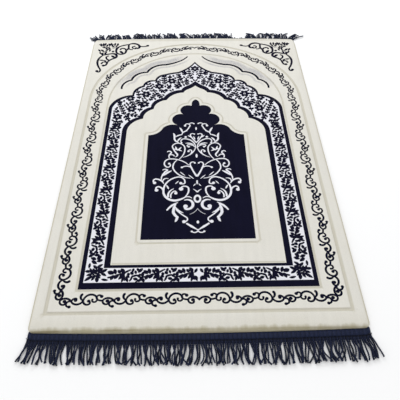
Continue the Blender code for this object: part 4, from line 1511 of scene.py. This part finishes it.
def made_by_nodes(name, mesh, tree, values):
    """The mesh that a Geometry Nodes tree makes of a line, as plain mesh data."""
    line = bpy.data.objects.new(name, mesh)
    bpy.context.scene.collection.objects.link(line)
    modifier = line.modifiers.new("Nodes", "NODES")
    modifier.node_group = tree
    inputs = [item for item in tree.interface.items_tree if item.in_out == "INPUT"]
    sockets = {item.name: item.identifier for item in inputs}
    for key, value in values.items():
        modifier[sockets[key]] = value
    bpy.context.view_layer.update()
    graph = bpy.context.evaluated_depsgraph_get()
    made = bpy.data.meshes.new_from_object(line.evaluated_get(graph))
    bpy.data.objects.remove(line)
    return made


def tape_core(end, profile, steps=160):
    """The tape's plain strip, as (vertices, faces): a closed profile swept along the end."""
    x = np.linspace(-TAPE_HALF_LENGTH, TAPE_HALF_LENGTH, steps + 1)
    reach = end_reach(x)
    count = len(profile)
    vertices = np.array(
        [(px, end * (r + out), height) for px, r in zip(x, reach) for out, height in profile]
    )
    faces = []
    for i in range(steps):
        for k in range(count):
            m = (k + 1) % count
            a, b = i * count, (i + 1) * count
            faces.append((a + k, b + k, b + m, a + m))
    faces.append(tuple(range(count))[::-1])
    faces.append(tuple(steps * count + k for k in range(count)))
    if end > 0:
        faces = [face[::-1] for face in faces]
    return vertices * MM, faces


def joined_piece(name, meshes, material):
    """One object of several meshes, all in one material."""
    objects = []
    for mesh in meshes:
        mesh.materials.clear()
        mesh.materials.append(material)
        thing = bpy.data.objects.new(name, mesh)
        bpy.context.scene.collection.objects.link(thing)
        objects.append(thing)
    with bpy.context.temp_override(active_object=objects[0], selected_editable_objects=objects):
        bpy.ops.object.join()
    piece = objects[0]
    piece.name = name
    piece.data.name = name
    return piece


# ---------------------------------------------------------------- settings
class RugPileSettings(bpy.types.PropertyGroup):
    cream: bpy.props.FloatVectorProperty(
        name="Cream", description="The pile's ground colour", subtype="COLOR", size=4,
        default=(0.778, 0.757, 0.692, 1.0), min=0.0, max=1.0,
    )
    ground: bpy.props.FloatVectorProperty(
        name="Border Ground", description="The whiter pile between the leaves and in the medallion",
        subtype="COLOR", size=4, default=(0.82, 0.82, 0.87, 1.0), min=0.0, max=1.0,
    )
    navy: bpy.props.FloatVectorProperty(
        name="Navy", description="The pattern's dark pile", subtype="COLOR", size=4,
        default=(0.0048, 0.0048, 0.0170, 1.0), min=0.0, max=1.0,
    )
    # The colour of the painted shade on the rolled rim and in the pressed lines; the soft patches take
    # it too
    rim: bpy.props.FloatVectorProperty(
        name="Rim Shade", description="The cream pile's tone where the edge rolls down",
        subtype="COLOR", size=4, default=(0.47, 0.43, 0.30, 1.0), min=0.0, max=1.0,
    )
    # The colour of the pressed dots' painted shade
    stipple_shade: bpy.props.FloatVectorProperty(
        name="Stipple", description="The pressed dots' tone", subtype="COLOR", size=4,
        default=(0.33, 0.325, 0.37, 1.0), min=0.0, max=1.0,
    )
    backing: bpy.props.FloatVectorProperty(
        name="Backing", description="The woven back", subtype="COLOR", size=4,
        default=(0.62, 0.58, 0.49, 1.0), min=0.0, max=1.0,
    )


class RugFringeSettings(bpy.types.PropertyGroup):
    yarn: bpy.props.FloatVectorProperty(
        name="Yarn", description="The tape's and the strands' colour", subtype="COLOR", size=4,
        default=(0.0120, 0.0165, 0.0400, 1.0), min=0.0, max=1.0,
    )
    strands: bpy.props.IntProperty(
        name="Strands", description="Strands along each end", default=190, min=20, max=300
    )
    strand_radius: bpy.props.FloatProperty(
        name="Strand Radius", description="Half a strand's thickness", default=0.0021,
        min=0.0005, max=0.003, unit="LENGTH",
    )
    near_length: bpy.props.FloatProperty(
        name="Near Length", description="A near strand's length from the band",
        default=0.055, min=0.02, max=0.1, unit="LENGTH",
    )
    far_length: bpy.props.FloatProperty(
        name="Far Length", description="A far strand's length from the band",
        default=0.0395, min=0.02, max=0.1, unit="LENGTH",
    )


class RugStageSettings(bpy.types.PropertyGroup):
    camera_place: bpy.props.FloatVectorProperty(
        name="Camera", description="Where the camera stands", subtype="TRANSLATION",
        default=(-0.012, -0.9993, 1.000), unit="LENGTH",
    )
    pitch: bpy.props.FloatProperty(
        name="Pitch", description="How far the camera looks down",
        default=math.radians(51.49), subtype="ANGLE",
    )
    yaw: bpy.props.FloatProperty(
        name="Yaw", description="How far the camera looks to the right",
        default=math.radians(1.4), subtype="ANGLE",
    )
    roll: bpy.props.FloatProperty(
        name="Roll", description="The camera's turn about its line of sight",
        default=math.radians(0.43), subtype="ANGLE",
    )
    lens: bpy.props.FloatProperty(
        name="Lens", description="Focal length in millimetres", default=39.93, min=10, max=200
    )
    floor: bpy.props.FloatVectorProperty(
        name="Floor", description="The floor's colour", subtype="COLOR", size=4,
        default=(0.97, 0.97, 0.97, 1.0), min=0.0, max=1.0,
    )


# ---------------------------------------------------------------- operators
def opaque(colour):
    """A colour setting, not see-through."""
    return tuple(colour[:3]) + (1.0,)


class RUG_OT_pile(bpy.types.Operator):
    """Make the mat: its patterned pile, rolled edges, pressed lines and woven back"""

    bl_idname = "rug.pile"
    bl_label = "Make Pile"

    def execute(self, context):
        settings = context.scene.rug_pile
        groups = shared_groups()
        mesh = pile_mesh()
        rim, cream = opaque(settings.rim), opaque(settings.cream)
        navy, ground = opaque(settings.navy), opaque(settings.ground)
        materials = {
            "cream": cream_material("cream_pile", cream, rim, opaque(settings.stipple_shade), groups),
            "ground": pile_material("white_pile", ground, groups, 0.05, 0.04),
            "navy": pile_material("navy_pile", navy, groups, 0.6, 0.5, sheen=0.0, gloss=0.07),
            "backing": backing_material("woven_back", opaque(settings.backing)),
        }
        for paint in PAINTS:
            mesh.materials.append(materials[paint])
        piece = bpy.data.objects.new("rug_pile", mesh)
        context.scene.collection.objects.link(piece)
        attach(piece, "root")
        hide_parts("rug_body")
        return {"FINISHED"}


# Where each fringe differs from the strand tree's own values
NEAR_EXTRA_STRANDS = 8
NEAR_STRANDS = {
    "Way Out": -1.0, "Seed": 3, "Length Slope": 0.006, "Lean": 0.0035, "Warp": 0.009,
    "Wave": 0.0026, "Heading": 0.007,
}
FAR_EXTRA_STRANDS = 50
FAR_STRANDS = {
    "Way Out": 1.0, "Seed": 8, "Length Spread": 0.2, "Lock Width": 0.021, "Gather": 0.7,
    "Lean": 0.015, "Hook": 0.008, "Fan Left": 1.15, "Fan Right": 0.95, "Fan Start": 0.345,
    "Heading": 0.006, "Thin From": 0.160, "Thin To": 0.208, "Thin Length": 0.3,
}


def build_tape(name, node, end, lap, material):
    """The woven band with its ribs, its chain stitch and the flat heading."""
    out = BAND_DEPTH
    start = PIECE_GAP - lap
    profile = (
        (HEADING_DEPTH, 0.0), (start, 0.0), (start, 2.4), (out - 1, 2.4), (out, 0.8),
        (HEADING_DEPTH, 0.7),
    )
    core = bpy.data.meshes.new("core")
    vertices, faces = tape_core(end, profile)
    core.from_pydata(vertices.tolist(), [], faces)
    values = {"Way Out": float(end), "Reach": (out - start - 2.9) * MM, "Yarn": material}
    ribs = made_by_nodes("ribs", tape_line(end, start + 1.7, 0.0), rib_tree(), values)
    x = np.array([vertex.co.x for vertex in ribs.vertices])
    rib = np.floor((x / MM + TAPE_HALF_LENGTH) / (2 * TAPE_HALF_LENGTH) * RIBS)
    tone = ribs.attributes.new("tone", "FLOAT", "POINT")
    tone.data.foreach_set("value", RIB_TONE + RIB_TONE_SPREAD * np.sin(2.1 * rib))
    stitched = tape_line(end, out + 0.6, 1.5)
    chain = made_by_nodes("chain", stitched, chain_tree(), {"Yarn": material})
    piece = joined_piece(name, [core, ribs, chain], material)
    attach(piece, "root")
    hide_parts(node)


def build_strands(name, node, end, values):
    """The loose strands along one end."""
    made = made_by_nodes(name, tape_line(end, BAND_DEPTH + 1.6, 0.0), strand_tree(), values)
    piece = bpy.data.objects.new(name, made)
    bpy.context.scene.collection.objects.link(piece)
    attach(piece, "root")
    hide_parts(node)


class RUG_OT_fringes(bpy.types.Operator):
    """Make the tape and the loose strands along both ends"""

    bl_idname = "rug.fringes"
    bl_label = "Make Fringes"

    def execute(self, context):
        settings = context.scene.rug_fringe
        yarn = yarn_material("navy_yarn", opaque(settings.yarn), shared_groups())
        build_tape("near_tape", "fringe_near", -1, NEAR_INSET, yarn)
        build_tape("far_tape", "fringe_far", 1, 0.0, yarn)
        for name, node, end, extra, length, values in (
            ("near_strands", "fringe_near", -1, NEAR_EXTRA_STRANDS, settings.near_length, NEAR_STRANDS),
            ("far_strands", "fringe_far", 1, FAR_EXTRA_STRANDS, settings.far_length, FAR_STRANDS),
        ):
            values = {
                **values, "Strands": settings.strands + extra, "Length": length,
                "Radius": settings.strand_radius, "Yarn": yarn,
            }
            build_strands(name, node, end, values)
        return {"FINISHED"}


class RUG_OT_declare(bpy.types.Operator):
    """A last step, which changes nothing"""

    bl_idname = "rug.declare"
    bl_label = "Declare Cloth"

    def execute(self, context):
        return {"FINISHED"}


class RUG_OT_stage(bpy.types.Operator):
    """Make the floor, the lights and the camera"""

    bl_idname = "rug.stage"
    bl_label = "Make Stage"

    def execute(self, context):
        settings = context.scene.rug_stage
        scene = context.scene
        mesh = bpy.data.meshes.new("floor")
        signs = ((-1, -1), (1, -1), (1, 1), (-1, 1))
        mesh.from_pydata([(i * FLOOR_HALF, j * FLOOR_HALF, 0) for i, j in signs], [], [(0, 1, 2, 3)])
        floor = bpy.data.objects.new("floor", mesh)
        floor.location.z = -FLOOR_DROP
        material, _, shader = start_material("floor", 0.8, 0.0)
        shader.inputs["Base Color"].default_value = opaque(settings.floor)
        mesh.materials.append(material)
        scene.collection.objects.link(floor)

        world = bpy.data.worlds.new("studio")
        world.use_nodes = True
        background = world.node_tree.nodes["Background"].inputs
        background["Color"].default_value = (1, 1, 1, 1)
        background["Strength"].default_value = STUDIO_STRENGTH
        scene.world = world
        light = bpy.data.lights.new("softbox", "AREA")
        light.shape = "RECTANGLE"
        light.size, light.size_y = SOFTBOX_SIZE
        light.energy = SOFTBOX_POWER
        light.color = SOFTBOX_COLOUR
        lamp = bpy.data.objects.new("softbox", light)
        lamp.location = SOFTBOX_PLACE
        lamp.rotation_euler = Euler(SOFTBOX_TURN)
        scene.collection.objects.link(lamp)

        camera = bpy.data.cameras.new("camera")
        camera.lens = settings.lens
        camera.sensor_width = 36.0
        eye = bpy.data.objects.new("camera", camera)
        eye.location = settings.camera_place
        look = Euler((math.pi / 2 - settings.pitch, 0, -settings.yaw)).to_matrix()
        roll = Euler((0, 0, settings.roll)).to_matrix()
        eye.rotation_euler = (look @ roll).to_euler()
        scene.collection.objects.link(eye)
        scene.camera = eye
        scene.view_settings.view_transform = "Standard"
        return {"FINISHED"}


class RUG_PT_panel(bpy.types.Panel):
    """Lists the rug's steps and its settings"""

    bl_idname = "RUG_PT_panel"
    bl_label = "Prayer Rug"
    bl_space_type = "VIEW_3D"
    bl_region_type = "UI"
    bl_category = "Rug"

    def draw(self, context):
        for step, settings in STEPS:
            self.layout.operator(step.bl_idname)
            if settings:
                group = getattr(context.scene, settings)
                for name in group.bl_rna.properties.keys():
                    if name not in ("rna_type", "name"):
                        self.layout.prop(group, name)


SETTINGS = {
    "rug_pile": RugPileSettings,
    "rug_fringe": RugFringeSettings,
    "rug_stage": RugStageSettings,
}
STEPS = (
    (RUG_OT_stage, "rug_stage"),
    (RUG_OT_pile, "rug_pile"),
    (RUG_OT_fringes, "rug_fringe"),
    (RUG_OT_declare, None),
)


def register():
    for name, kind in SETTINGS.items():
        bpy.utils.register_class(kind)
        setattr(bpy.types.Scene, name, bpy.props.PointerProperty(type=kind))
    for step, _ in STEPS:
        bpy.utils.register_class(step)
    bpy.utils.register_class(RUG_PT_panel)


def unregister():
    bpy.utils.unregister_class(RUG_PT_panel)
    for step, _ in reversed(STEPS):
        bpy.utils.unregister_class(step)
    for name, kind in reversed(SETTINGS.items()):
        delattr(bpy.types.Scene, name)
        bpy.utils.unregister_class(kind)


def main():
    register()
    bpy.ops.rug.stage()
    bpy.ops.rug.pile()
    bpy.ops.rug.fringes()
    bpy.ops.rug.declare()


if __name__ == "__main__":
    main()
